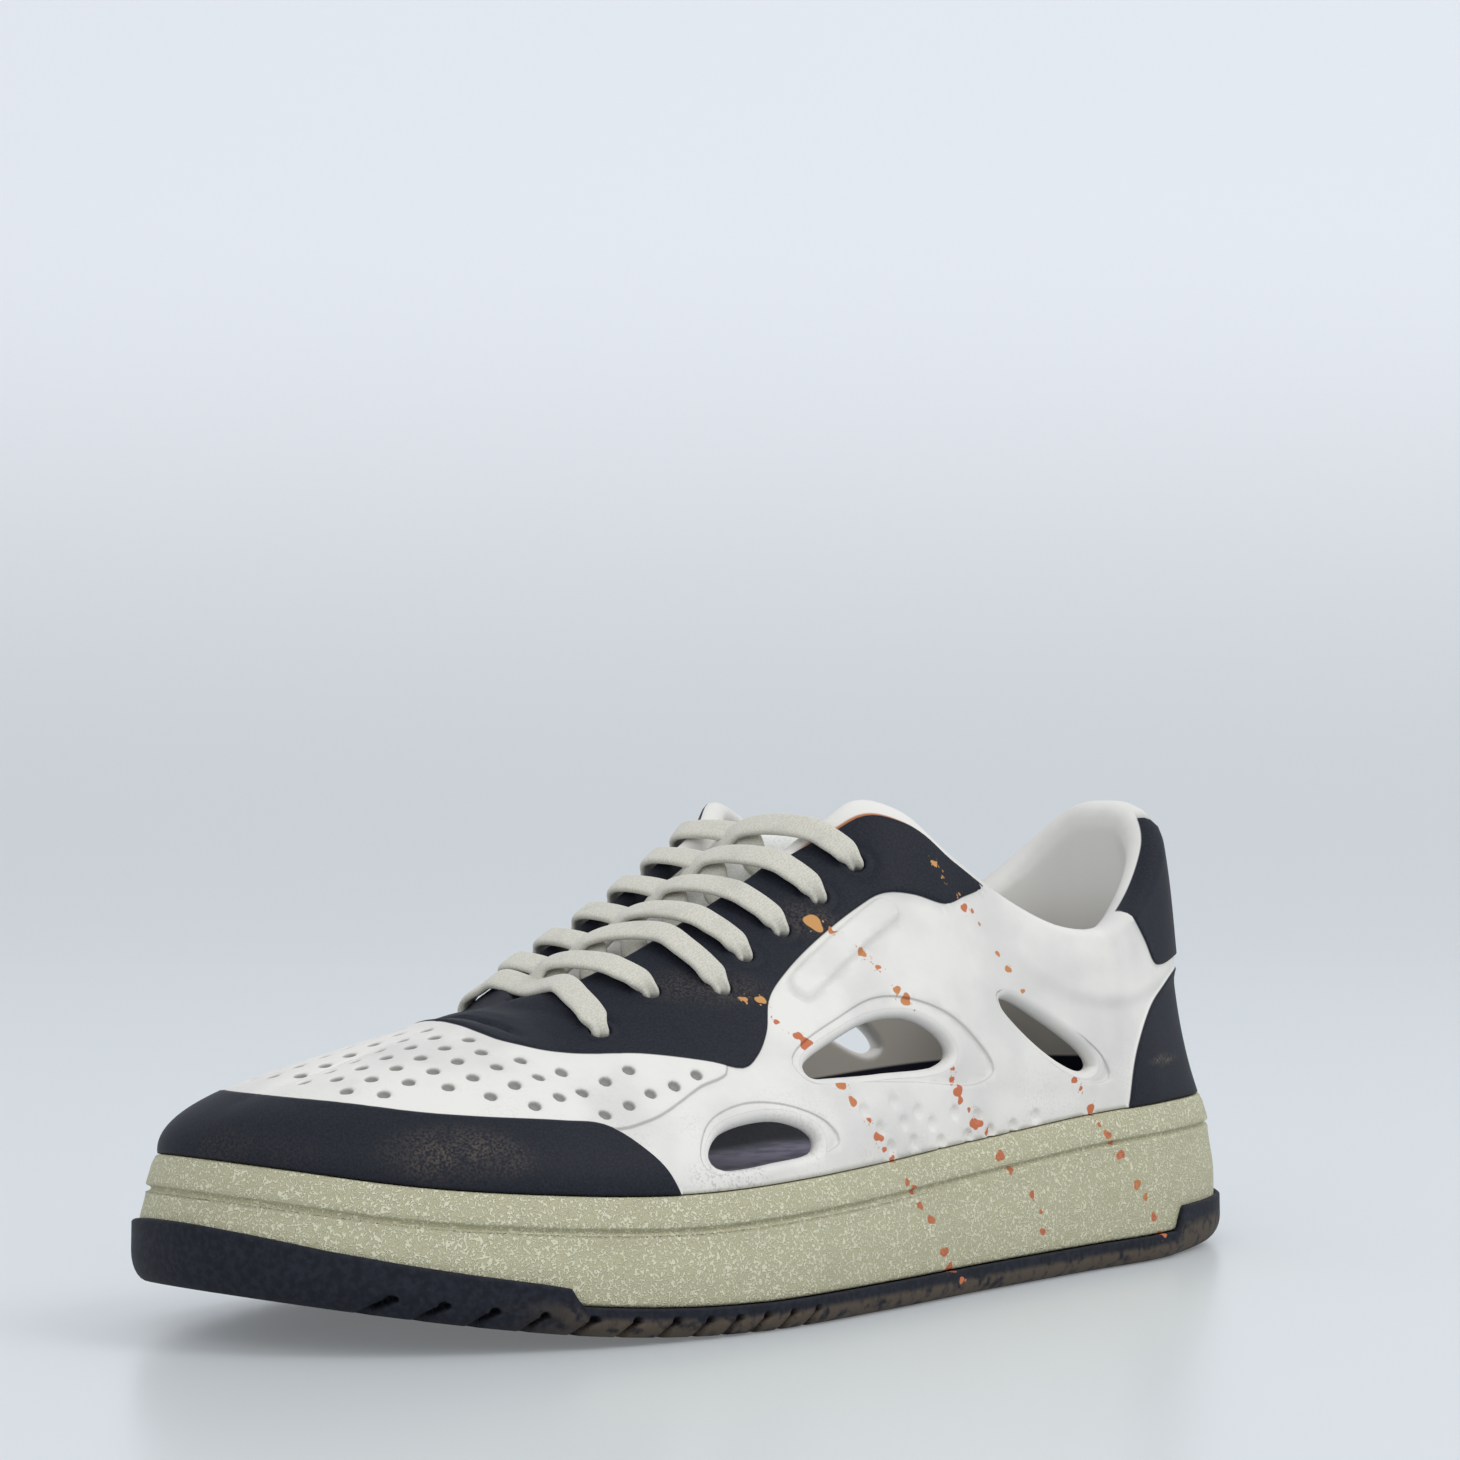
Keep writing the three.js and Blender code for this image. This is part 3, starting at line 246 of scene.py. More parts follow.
# Side views: x as a share of LENGTH, z as a share of UPPER_RISE above HEEL_STACK.
# They serve both sides of the shoe.
MAIN_OPENING = [
    [0.577, 0.228], [0.53, 0.31], [0.491, 0.354], [0.455, 0.352], [0.422, 0.285],
    [0.413, 0.232], [0.429, 0.198], [0.495, 0.195], [0.55, 0.198], [0.574, 0.206],
]
MAIN_RING = [
    [0.588, 0.245], [0.526, 0.365], [0.477, 0.42], [0.42, 0.366], [0.385, 0.27],
    [0.366, 0.165], [0.385, 0.128], [0.47, 0.155], [0.537, 0.174], [0.58, 0.187],
]
REAR_OPENING = [
    [0.346, 0.383], [0.332, 0.387], [0.285, 0.297], [0.241, 0.18], [0.235, 0.14],
    [0.248, 0.125], [0.296, 0.205], [0.335, 0.322],
]
REAR_RING = [
    [0.352, 0.4], [0.333, 0.41], [0.279, 0.307], [0.226, 0.17], [0.216, 0.1],
    [0.247, 0.089], [0.29, 0.16], [0.34, 0.31],
]
FRONT_OPENING = [
    [0.696, -0.005], [0.683, 0.055], [0.65, 0.091], [0.612, 0.086], [0.584, 0.03],
    [0.587, -0.01], [0.635, -0.034], [0.688, -0.038],
]
FRONT_RING = [
    [0.706, -0.005], [0.69, 0.085], [0.652, 0.138], [0.61, 0.125], [0.572, 0.06],
    [0.563, 0.005], [0.6, -0.034], [0.65, -0.053], [0.7, -0.046],
]
TOE_CAP = [
    [0.72, -0.3], [0.735, -0.05], [0.75, 0.035], [0.768, 0.098], [0.8, 0.118],
    [0.85, 0.135], [0.885, 0.15], [0.94, 0.185], [1.03, 0.19], [1.05, -0.3],
]
VAMP_PANEL = [
    [0.95, 0.1], [0.8, 0.1], [0.762, 0.088], [0.742, 0.1], [0.722, 0.12],
    [0.68, 0.187], [0.648, 0.235], [0.66, 0.4], [0.75, 0.7], [0.95, 0.6],
]
EYESTAY = [
    [0.793, 0.6], [0.792, 0.35], [0.775, 0.307], [0.75, 0.286], [0.706, 0.282],
    [0.66, 0.254], [0.635, 0.231], [0.617, 0.265], [0.598, 0.33], [0.58, 0.42],
    [0.55, 0.503], [0.471, 0.681], [0.445, 0.728], [0.422, 0.722], [0.395, 0.69],
    [0.37, 0.705], [0.33, 0.77], [0.4, 1.3], [0.793, 1.3],
]
HEEL_TAB = [
    [-0.05, 0.47], [0.08, 0.468], [0.12, 0.447], [0.135, 0.455], [0.148, 0.53],
    [0.163, 0.6], [0.2, 0.75], [0.2, 1.2], [-0.05, 1.2],
]
HEEL_COUNTER = [
    [-0.05, 0.43], [0.06, 0.43], [0.09, 0.415], [0.115, 0.37], [0.145, 0.31],
    [0.167, 0.235], [0.182, 0.15], [0.19, 0.03], [0.192, -0.2], [-0.05, -0.2],
]
LABEL_ENDS = [[0.547, 0.452], [0.449, 0.677]]
# Eyelets from the toe up, as worn and pulled out of line: station and height along the
# section on the outer side, then on the inner
EYELETS = [
    [0.695, 0.73, 0.695, 0.78], [0.65, 0.82, 0.657, 0.8], [0.604, 0.715, 0.622, 0.8],
    [0.578, 0.785, 0.586, 0.8], [0.546, 0.8, 0.55, 0.815], [0.51, 0.82, 0.513, 0.83],
    [0.476, 0.845, 0.477, 0.85],
]
# Stations of the first and last row along the middle of the throat
LACING_STATIONS = [0.695, 0.478]

# Dimples of the lower quarter, in the same shares
QUARTER_DOTS = [
    [0.495, 0.093], [0.465, 0.071], [0.422, 0.038], [0.514, 0.035], [0.484, 0.031],
    [0.452, 0.017], [0.502, -0.039], [0.473, -0.035], [0.439, -0.035], [0.406, -0.029],
    [0.343, -0.017], [0.313, -0.006], [0.529, 0.096], [0.375, -0.022], [0.39, 0.02],
]
# Soft creases: from and to in the same shares, half width and depth in mm (below 0 a ridge)
CREASES = [
    [0.80, 0.33, 0.745, 0.10, 2.2, 0.35],
    [0.83, 0.30, 0.775, 0.13, 1.8, -0.25],
    [0.79, 0.27, 0.72, 0.16, 1.6, 0.3],
    [0.73, 0.19, 0.66, 0.16, 2.6, 0.3],
    [0.76, 0.42, 0.69, 0.36, 1.1, 0.3],
    [0.69, 0.36, 0.61, 0.44, 1.0, -0.35],
    [0.36, 0.34, 0.25, 0.44, 4.0, 0.45],
    [0.25, 0.44, 0.14, 0.39, 3.6, 0.5],
    [0.31, 0.42, 0.22, 0.5, 3.0, -0.35],
    [0.36, 0.62, 0.29, 0.53, 2.6, 0.35],
    [0.22, 0.62, 0.17, 0.55, 2.4, 0.35],
    [0.36, 0.08, 0.23, 0.05, 2.4, 0.25],
    [0.56, 0.1, 0.5, 0.16, 2.2, 0.25],
    [0.49, 0.55, 0.4, 0.44, 3.4, 0.3],
]
# Bends over the front of the eyestay, seen from above: from and to as shares of LENGTH and
# BALL_WIDTH, half width and depth in mm (below 0 a ridge)
BENDS = [
    [0.782, -0.14, 0.768, 0.16, 0.8, 1.3], [0.797, -0.12, 0.785, 0.12, 1.8, -0.7],
    [0.765, -0.1, 0.752, 0.12, 1.6, -0.3],
]
# Thrown paint on the outer side: from and to as shares of LENGTH and of the whole height,
# then the drops: share of the way, offset across and radius in mm
HEIGHT = HEEL_STACK + UPPER_RISE
SPLATTER = [
    ([0.393, 0.876], [0.165, 0.06], [
        [0, 0.3, 0.8], [0.03, -0.2, 0.5], [0.08, 0.3, 0.6], [0.11, 0.1, 1.0], [0.13, 1.6, 0.6],
        [0.16, 1.2, 0.5], [0.23, 0, 0.7], [0.27, -0.2, 0.9], [0.33, 0.1, 0.6], [0.57, 0, 1.0],
        [0.6, 0.6, 0.6], [0.66, 0.8, 1.3], [0.69, -0.6, 0.6], [0.72, -0.3, 1.1],
        [0.745, 0.1, 0.7], [0.78, 0.2, 1.2], [0.86, -0.2, 1.2], [0.9, 0.3, 0.9],
        [0.955, 0, 1.1], [1, -0.5, 0.8],
    ]),
    ([0.483, 0.702], [0.32, 0.085], [
        [0, 0.4, 0.9], [0.05, 0.8, 0.6], [0.12, 0, 0.9], [0.155, 0.3, 1.3], [0.2, 0.2, 0.7],
        [0.235, 0, 0.6], [0.39, 0.3, 0.7], [0.415, -1.2, 0.8], [0.45, -1.8, 1.4],
        [0.475, -2.6, 0.9], [0.52, -1.4, 0.6], [0.565, -1.8, 1.4], [0.58, -0.2, 1.1],
        [0.63, 1.2, 0.9], [0.69, -0.6, 1.3], [0.75, 0.3, 0.9], [0.86, 2.4, 0.9],
        [0.92, 2.2, 0.6], [0.97, 0, 0.9],
    ]),
    ([0.571, 0.549], [0.44, 0.036], [
        [0, 0, 1.0], [0.03, 0.2, 1.4], [0.06, -0.4, 0.7], [0.18, -0.2, 1.5], [0.25, -0.6, 1.1],
        [0.335, 0.2, 0.6], [0.4, 0.1, 1.3], [0.45, -0.3, 0.7], [0.5, 0.6, 0.8],
        [0.58, -0.5, 0.8], [0.62, 0.4, 1.0], [0.68, -0.3, 0.9], [0.75, 0.6, 1.1],
        [0.88, 0, 1.2], [0.94, -0.3, 1.0], [1, 0.2, 0.8],
    ]),
]
LONE_DROPS = [[0.509, 0.761, 1.7], [0.498, 0.747, 0.7], [0.601, 0.619, 0.6], [0.588, 0.616, 0.9],
              [0.584, 0.578, 0.6]]
DROP_WAVER = (0.16, 0.13)  # of a drop's edge, twice and three times round it
DROP_STRETCH = (0.8, 1.05)
# Steps at the outlines of raised and sunk areas: from and to in mm inside the outline, and
# how many lines cut the net there
STEPS = {
    "navy": (-0.45, 0.45, 4), "vamp": (-0.2, 0.2, 3), "ring": (-0.25, 0.45, 3),
    "label": (-0.5, 0.5, 3), "drop": (0, 0, 1), "slot": (-0.25, 0.35, 3),
}
# Rubbed places on the navy: centre and half size as shares of LENGTH and of the whole height
SCUFFS = [
    [0.878, 0.365, 0.06, 0.065, 0.5], [0.132, 0.43, 0.04, 0.012, 0.9],
    [0.045, 0.39, 0.04, 0.016, 0.9], [0.515, 0.77, 0.035, 0.05, 0.4],
    [0.62, 0.64, 0.06, 0.05, 0.3], [0.99, 0.37, 0.05, 0.06, 0.12],
]
SCUFF_EDGE = 0.827  # the rubbed patch on the toe cap ends sharply here, a share of LENGTH
SCUFF_FAINT = (0.06, 0.15)  # how far it goes on beyond, and with how much of its strength
# White band of the roll that shows over the navy, at the heel and at the outer collar peak:
# station and mm
PEAK_BAND = [
    [0, 0.7], [0.03, 0.5], [0.06, 0.1], [0.08, 0], [0.3, 0], [0.36, 1.2], [0.42, 3], [0.455, 3.2],
    [0.475, 2.6], [0.5, 1.4], [0.525, 0],
]
HEEL_BAND_END = 0.13  # on the inner side the band ends here
FOOT_DIRT = 26  # how far up the foam the specks of dirt go, in mm
LINING_START = (7.0, 6.2)  # the inside of the upper is painted footbed navy up to here, in mm

# Camera, fitted to the shoe's outline, in metres and radians
CAMERA_PLACE = (0.65741, 0.67927, 0.1286)
CAMERA_YAW = -2.336456
CAMERA_PITCH = -0.0017342
CAMERA_LENS = 101.615
SENSOR_WIDTH = 36.0
LIT_PLACE = (0, 0, 0.04)  # what both lamps face


def curve_through(rows, first=None, last=None):
    """Smooth curve through rows of numbers, whose first column is the parameter."""
    rows = np.array(rows, float)
    knots, values = rows[:, 0], rows[:, 1:]
    gaps = np.diff(knots)[:, None]
    rises = np.diff(values, axis=0) / gaps
    tangents = np.empty_like(values)
    tangents[0], tangents[-1] = rises[0], rises[-1]
    tangents[1:-1] = (gaps[1:] * rises[:-1] + gaps[:-1] * rises[1:]) / (gaps[1:] + gaps[:-1])
    if first is not None:
        tangents[0] = first
    if last is not None:
        tangents[-1] = last

    def at(t):
        t = np.clip(np.atleast_1d(t).astype(float), knots[0], knots[-1])
        i = np.clip(np.searchsorted(knots, t, side="right") - 1, 0, len(knots) - 2)
        h = (knots[i + 1] - knots[i])[:, None]
        r = (t[:, None] - knots[i][:, None]) / h
        return (
            values[i] * (1 + 2 * r) * (1 - r) ** 2
            + values[i + 1] * r * r * (3 - 2 * r)
            + h * r * (1 - r) * (tangents[i] * (1 - r) - tangents[i + 1] * r)
        )

    return at


def line_through(rows):
    knots, values = np.array(rows, float).T
    return lambda t: np.interp(t, knots, values)


def smooth(start, end, at):
    r = np.clip((at - start) / (end - start), 0, 1)
    return r * r * (3 - 2 * r)


def unit(vectors):
    length = np.linalg.norm(vectors, axis=-1, keepdims=True)
    return vectors / np.maximum(length, 1e-12)


def half_outline(shares, side):
    """Point and outward normal at evenly spaced stations, 0 at the heel and 1 at the toe."""
    points = np.array(shares) * [LENGTH, BALL_WIDTH]
    chords = np.r_[0, np.cumsum(np.hypot(*np.diff(points, axis=0).T))]
    curve = curve_through(np.c_[chords, points], [0, side], [0, -side])
    run = np.linspace(0, chords[-1], 601)
    lengths = np.r_[0, np.cumsum(np.hypot(*np.diff(curve(run), axis=0).T))]
    lengths /= lengths[-1]
    nudge = 0.003

    def point_at(q):
        return curve(np.interp(q, lengths, run))

    def at(q):
        along = unit(point_at(np.minimum(q + nudge, 1)) - point_at(np.maximum(q - nudge, 0)))
        along[q <= 0] = [0, side]
        along[q >= 1] = [0, -side]
        return point_at(q), np.c_[-along[:, 1], along[:, 0]] * side

    return at


def section_curve(rows):
    """Smooth through the sections, and square to the middle of the heel."""
    first = np.zeros(len(rows[0]) - 1)
    first[1] = (rows[1][2] - rows[0][2]) / (rows[1][0] - rows[0][0])
    return curve_through(rows, first)


outer_half = half_outline(OUTER_OUTLINE, 1)
inner_half = half_outline(INNER_OUTLINE, -1)
outer_sections = section_curve(OUTER_SECTIONS)
inner_sections = section_curve(INNER_SECTIONS)
foot_line_at = curve_through(FOOT_LINE)
underside_at = curve_through(UNDERSIDE)
toe_rise = line_through(TOE_RISE)
heel_rise = line_through(HEEL_RISE)
swell_start = line_through(SWELL_START)


def pick(s, outer, inner):
    """A signed station s is above 0 on the outer side and below 0 on the inner side."""
    return np.where((s < 0)[:, None], inner, outer)


def outline(s):
    q = np.abs(s)
    outer, inner = outer_half(q), inner_half(q)
    return pick(s, outer[0], inner[0]), pick(s, outer[1], inner[1])


def sections(s):
    q = np.abs(s)
    return pick(s, outer_sections(q), inner_sections(q))


def foot_line(x):
    return foot_line_at(x / LENGTH)[:, 0] * HEEL_STACK


def underside(x):
    return np.maximum(underside_at(x / LENGTH)[:, 0], 0) * TOE_SPRING


def tread_top(x):
    return underside(x) + TREAD_THICKNESS


def rubber_top(x):
    wraps = np.maximum(toe_rise(x / LENGTH) * TOE_WRAP, heel_rise(x / LENGTH) * HEEL_WRAP)
    return np.maximum(tread_top(x) + CLEARANCE, wraps)


def skin_point(s, v):
    """The upper's outer skin at a signed station and a share of the way up its section."""
    s, v = np.broadcast_arrays(np.atleast_1d(s).astype(float), v)
    shares = sections(s)
    lasting = (np.abs(s) >= THROAT_END)[:, None]
    top = np.where(lasting, (shares + sections(-s)) / 2, shares)[:, :3]
    top = top * [LENGTH, BALL_WIDTH, UPPER_RISE] + [0, 0, HEEL_STACK]
    foot_handle, lean, top_handle, fall = shares[:, 3:7].T
    point, normal = outline(s)
    normal = np.c_[normal, np.zeros(len(s))]
    foot = np.c_[point, foot_line(point[:, 0])] - LEDGE * normal
    up = np.array([0, 0, 1.0])
    low = foot + normal * (lean * BALL_WIDTH)[:, None] + up * (foot_handle * UPPER_RISE)[:, None]
    reach = (top_handle * UPPER_RISE)[:, None]
    angle = np.radians(fall)[:, None]
    high = top + (normal * np.cos(angle) - up * np.sin(angle)) * reach
    v = v[:, None]
    return (
        foot * (1 - v) ** 3 + low * 3 * v * (1 - v) ** 2 + high * 3 * v * v * (1 - v) + top * v**3
    )


def skin_normal(s, v):
    nudge = 0.002
    s, v = np.broadcast_arrays(np.atleast_1d(s).astype(float), v)
    along = skin_point(np.minimum(s + nudge, 1), v) - skin_point(np.maximum(s - nudge, -1), v)
    up = skin_point(s, np.minimum(v + nudge, 1)) - skin_point(s, np.maximum(v - nudge, 0))
    return unit(np.cross(up, along))


def wall_at(s, v):
    top = VAMP_WALL + (COLLAR_WALL - VAMP_WALL) * np.maximum(sections(s)[:, 7], 0)
    return FOOT_WALL + (top - FOOT_WALL) * smooth(0, 0.8, v)


def round_at(s):
    return THROAT_ROUND + (COLLAR_ROUND - THROAT_ROUND) * np.maximum(sections(s)[:, 8], 0)


def swell_at(s, v):
    q = np.abs(s)
    start = swell_start(q)
    return COLLAR_SWELL * smooth(start, start + 0.1, v) * (1 - smooth(*SWELL_END, q))


class Net:
    """A triangle net. Each column of data is a named value at every vertex."""

    snap = 0.15  # a cut this near an end of an edge, as a share of it, moves the end instead

    def __init__(self, names, data, triangles):
        self.names = list(names)
        self.data = data
        self.triangles = triangles
        self.rim = np.zeros(len(data), bool)

    def __getitem__(self, name):
        return self.data[:, self.names.index(name)]

    def copy(self):
        twin = Net(self.names, self.data.copy(), self.triangles.copy())
        twin.rim = self.rim.copy()
        return twin

    def put(self, name, values):
        if name in self.names:
            self.data[:, self.names.index(name)] = values
        else:
            self.names.append(name)
            self.data = np.c_[self.data, values]

    def edges(self):
        """Each edge's two ends, each triangle's three edges and each edge's count."""
        ends = self.triangles[:, [0, 1, 1, 2, 2, 0]].reshape(-1, 2)
        low, high = ends.min(1), ends.max(1)
        _, first, index, count = np.unique(
            low * len(self.data) + high,
            return_index=True, return_inverse=True, return_counts=True,
        )
        return np.c_[low, high][first], index.reshape(-1, 3), count

    def cut(self, share, edges, of_triangle):
        """Adds a vertex at that share of each edge; nan leaves an edge whole."""
        cutting = np.flatnonzero(~np.isnan(share))
        new = np.full(len(edges), -1)
        new[cutting] = len(self.data) + np.arange(len(cutting))
        a, b = edges[cutting].T
        t = share[cutting, None]
        self.data = np.r_[self.data, self.data[a] * (1 - t) + self.data[b] * t]
        self.rim = np.r_[self.rim, self.rim[a] & self.rim[b]]
        middle = new[of_triangle]
        count = (middle >= 0).sum(1)

        def turned(chosen, start):
            order = (start[:, None] + np.arange(3)) % 3
            corners = np.take_along_axis(self.triangles[chosen], order, 1)
            return (*corners.T, *np.take_along_axis(middle[chosen], order, 1).T)

        parts = [self.triangles[count == 0]]
        one = count == 1
        a, b, c, m, _, _ = turned(one, np.argmax(middle[one] >= 0, 1))
        parts += [np.c_[a, m, c], np.c_[m, b, c]]
        two = count == 2
        a, b, c, m, n, _ = turned(two, np.argmin(middle[two] >= 0, 1) + 1)
        parts += [np.c_[m, b, n], np.c_[a, m, n], np.c_[a, n, c]]
        three = count == 3
        a, b, c, m, n, o = turned(three, np.zeros(three.sum(), int))
        parts += [np.c_[a, m, o], np.c_[m, b, n], np.c_[o, n, c], np.c_[m, n, o]]
        self.triangles = np.concatenate(parts)

    def refine(self, near):
        """Halves every edge with both ends near, apart from the rims."""
        edges, of_triangle, count = self.edges()
        a, b = edges.T
        chosen = near[a] & near[b] & ~((count == 1) & self.rim[a] & self.rim[b])
        self.cut(np.where(chosen, 0.5, np.nan), edges, of_triangle)

    def split(self, name, level):
        """Cuts every triangle that the level line of a value crosses."""
        value = self[name] - level
        edges, of_triangle, count = self.edges()
        a, b = edges.T
        fixed = np.zeros(len(self.data), bool)
        fixed[edges[count == 1].ravel()] = True
        allowed = ~((count == 1) & self.rim[a] & self.rim[b])
        crossing = allowed & (value[a] * value[b] < 0)
        share = np.where(crossing, value[a] / np.where(crossing, value[a] - value[b], 1), np.nan)
        before = self.data.copy()
        for ends, close in ((a, share < self.snap), (b, share > 1 - self.snap)):
            moving = np.flatnonzero(crossing & close & ~fixed[ends])
            t = share[moving, None]
            self.data[ends[moving]] = before[a[moving]] * (1 - t) + before[b[moving]] * t
            value[ends[moving]] = 0
            self.data[ends[moving], self.names.index(name)] = level
        crossing &= value[a] * value[b] < 0
        start = len(self.data)
        self.cut(np.where(crossing, share, np.nan), edges, of_triangle)
        self.data[start:, self.names.index(name)] = level

    def split_steps(self, names):
        """Cuts along the lines of the steps at these values' outlines."""
        for name in names:
            for level in np.linspace(*STEPS[name]):
                self.split(name, level)

    def step(self, name):
        """From 0 outside an outline to 1 inside it."""
        start, end, _ = STEPS[name]
        return smooth(start, end, self[name])

    def clip(self, name, level):
        """Keeps what is above the level, and marks its new edge as a rim."""
        self.split(name, level)
        value = self[name] - level
        self.triangles = self.triangles[value[self.triangles].sum(1) > 0]
        used, index = np.unique(self.triangles, return_inverse=True)
        self.triangles = index.reshape(-1, 3)
        self.data = self.data[used]
        self.rim = self.rim[used] | (np.abs(value[used]) < 1e-9)


def grid_net(names, first, second):
    """Net over two lists of values, facing out where the second runs up the outside."""
    a, b = np.meshgrid(first, second, indexing="ij")
    index = np.arange(a.size).reshape(a.shape)
    corners = [index[:-1, :-1], index[:-1, 1:], index[1:, 1:], index[1:, :-1]]
    p, q, r, t = (c.ravel() for c in corners)
    return Net(names, np.c_[a.ravel(), b.ravel()], np.r_[np.c_[p, q, r], np.c_[p, r, t]])


def grouped_normals(points, triangles):
    """Vertex normals, shared by vertices that lie in one place."""
    _, group = np.unique(np.round(points, 4), axis=0, return_inverse=True)
    group = group.ravel()
    a, b, c = points[triangles].transpose(1, 0, 2)
    face = np.cross(b - a, c - a)
    total = np.zeros((group.max() + 1, 3))
    for corner in triangles.T:
        np.add.at(total, group[corner], face)
    return unit(total[group])


def closed_curve(shares):
    """Smooth closed outline through a side view's points, in millimetres."""
    points = np.array(shares) * [LENGTH, UPPER_RISE] + [0, HEEL_STACK]
    ring = np.r_[points[-3:], points, points[:3]]
    knots = np.r_[0, np.cumsum(np.sqrt(np.hypot(*np.diff(ring, axis=0).T)))]
    curve = curve_through(np.c_[knots, ring])
    return curve(np.linspace(knots[3], knots[-3], 10 * len(points) + 1)[:-1])


def inside_distance(outlines, points):
    """Distance into the nearest of several side views, below 0 outside all of them."""
    best = np.full(len(points), OFF_PANEL)
    p = points[:, [0, 2]]
    for shape in outlines:
        low, high = shape.min(0) + OFF_PANEL, shape.max(0) - OFF_PANEL
        near = np.flatnonzero(((p > low) & (p < high)).all(1))
        distance = np.full(len(near), FAR)
        inside = np.zeros(len(near), bool)
        here = p[near]
        for a, b in zip(shape, np.roll(shape, -1, axis=0)):
            run = b - a
            t = np.clip((here - a) @ run / max(run @ run, 1e-9), 0, 1)
            distance = np.minimum(distance, np.hypot(*(here - a - t[:, None] * run).T))
            crosses = (a[1] > here[:, 1]) != (b[1] > here[:, 1])
            if a[1] != b[1]:
                inside ^= crosses & (here[:, 0] < a[0] + run[0] * (here[:, 1] - a[1]) / run[1])
        signed = np.where(inside, distance, -distance)
        best[near] = np.maximum(best[near], signed)
    return best


def line_distance(places, start, end):
    """Distance of flat places from a straight line, and the share of the way along it."""
    run = np.array(end) - start
    share = (places - start) @ run / (run @ run)
    near = start + np.clip(share, 0, 1)[:, None] * run
    return np.hypot(*(places - near).T), share


def side_place(share):
    return np.array([share[0] * LENGTH, HEEL_STACK + share[1] * UPPER_RISE])


def nearest(points, centres):
    """Distance from each point to the nearest centre."""
    best = np.full(len(points), FAR)
    for centre in centres:
        best = np.minimum(best, np.linalg.norm(points - centre, axis=1))
    return best


def drop_places():
    """Side-view centre and radius of every drop of paint, in millimetres."""
    drops = []
    for start, end, rows in SPLATTER:
        a = np.array(start) * [LENGTH, HEIGHT]
        b = np.array(end) * [LENGTH, HEIGHT]
        across = np.array([b[1] - a[1], a[0] - b[0]]) / np.linalg.norm(b - a)
        for share, offset, radius in rows:
            drops.append((*(a + share * (b - a) + offset * across), radius))
    drops += [(x * LENGTH, z * HEIGHT, radius) for x, z, radius in LONE_DROPS]
    return drops


def drop_distance(points, outer):
    """Depth inside the nearest drop of paint, on the outer side alone."""
    twice, thrice = DROP_WAVER
    wide, tall = DROP_STRETCH
    best = np.full(len(points), OFF_DROP)
    for i, (x, z, radius) in enumerate(drop_places()):
        dx, dz = points[:, 0] - x, points[:, 2] - z
        angle = np.arctan2(dz, dx)
        edge = 1 + twice * np.sin(2 * angle + i) + thrice * np.sin(3 * angle + 2.3 * i)
        best = np.maximum(best, radius * edge - np.hypot(dx * wide, dz * tall))
    return np.where(outer, best, OFF_DROP)


def refine_drops(net, place, reaches):
    """Finer triangles round the drops of paint, on a net whose points place finds."""
    for reach in reaches:
        net.refine(drop_distance(place(net), net["s"] > 0) > -reach)


def vamp_dots():
    """Centres of the dimples over the vamp, in a lattice that follows the toe."""
    centres = []
    for row in range(-DOT_ROWS, DOT_ROWS + 1):
        for column in range(DOT_COLUMNS):
            x = DOT_START * LENGTH - column * DOT_PITCH - (row % 2) * DOT_PITCH / 2
            x -= DOT_SWEEP * (row * DOT_PITCH) ** 2
            centres.append((x, row * DOT_ROW_PITCH))
    return centres


def frame_shift():
    """From the shoe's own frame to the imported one, whose origin is the middle of its underside."""
    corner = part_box("outsole")[0]
    inner_edge = inner_half(np.linspace(0, 1, 400))[0][:, 1].min()
    own_corner = np.array([-TREAD_FLARE, inner_edge - TREAD_FLARE, 0])
    shift = np.array(corner) - own_corner * MM
    shift[2] = 0
    return shift


MM = 0.001
SHIFT = frame_shift()


def make_object(name, points, triangles, attributes, material, nodes):
    """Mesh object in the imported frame, with vertices in one place joined."""
    _, first, index = np.unique(
        np.round(points, 3), axis=0, return_index=True, return_inverse=True
    )
    triangles = index.ravel()[triangles]
    a, b, c = triangles.T
    triangles = triangles[(a != b) & (b != c) & (c != a)]
    mesh = bpy.data.meshes.new(name)
    mesh.vertices.add(len(first))
    mesh.vertices.foreach_set("co", (points[first] * MM + SHIFT).astype(np.float32).ravel())
    mesh.loops.add(triangles.size)
    mesh.loops.foreach_set("vertex_index", triangles.astype(np.int32).ravel())
    mesh.polygons.add(len(triangles))
    mesh.polygons.foreach_set("loop_start", np.arange(0, triangles.size, 3, dtype=np.int32))
    mesh.polygons.foreach_set("use_smooth", np.ones(len(triangles), bool))
    mesh.update(calc_edges=True)
    mesh.validate()
    for key, values in attributes.items():
        layer = mesh.attributes.new(key, "FLOAT", "POINT")
        layer.data.foreach_set("value", values[first].astype(np.float32))
    mesh.materials.append(material)
    piece = bpy.data.objects.new(name, mesh)
    bpy.context.scene.collection.objects.link(piece)
    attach(piece, "root")
    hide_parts(*nodes)
    return piece


def lacing_station(row):
    first, last = LACING_STATIONS
    return first + (last - first) * row / (len(EYELETS) - 1)


def eyelet(row, side):
    """Signed station and height of an eyelet."""
    station, height = EYELETS[row][:2] if side > 0 else EYELETS[row][2:]
    return station * side, height


def skin_at(s, v):
    """One point of the skin and its normal."""
    return skin_point(s, v)[0], skin_normal(s, v)[0]


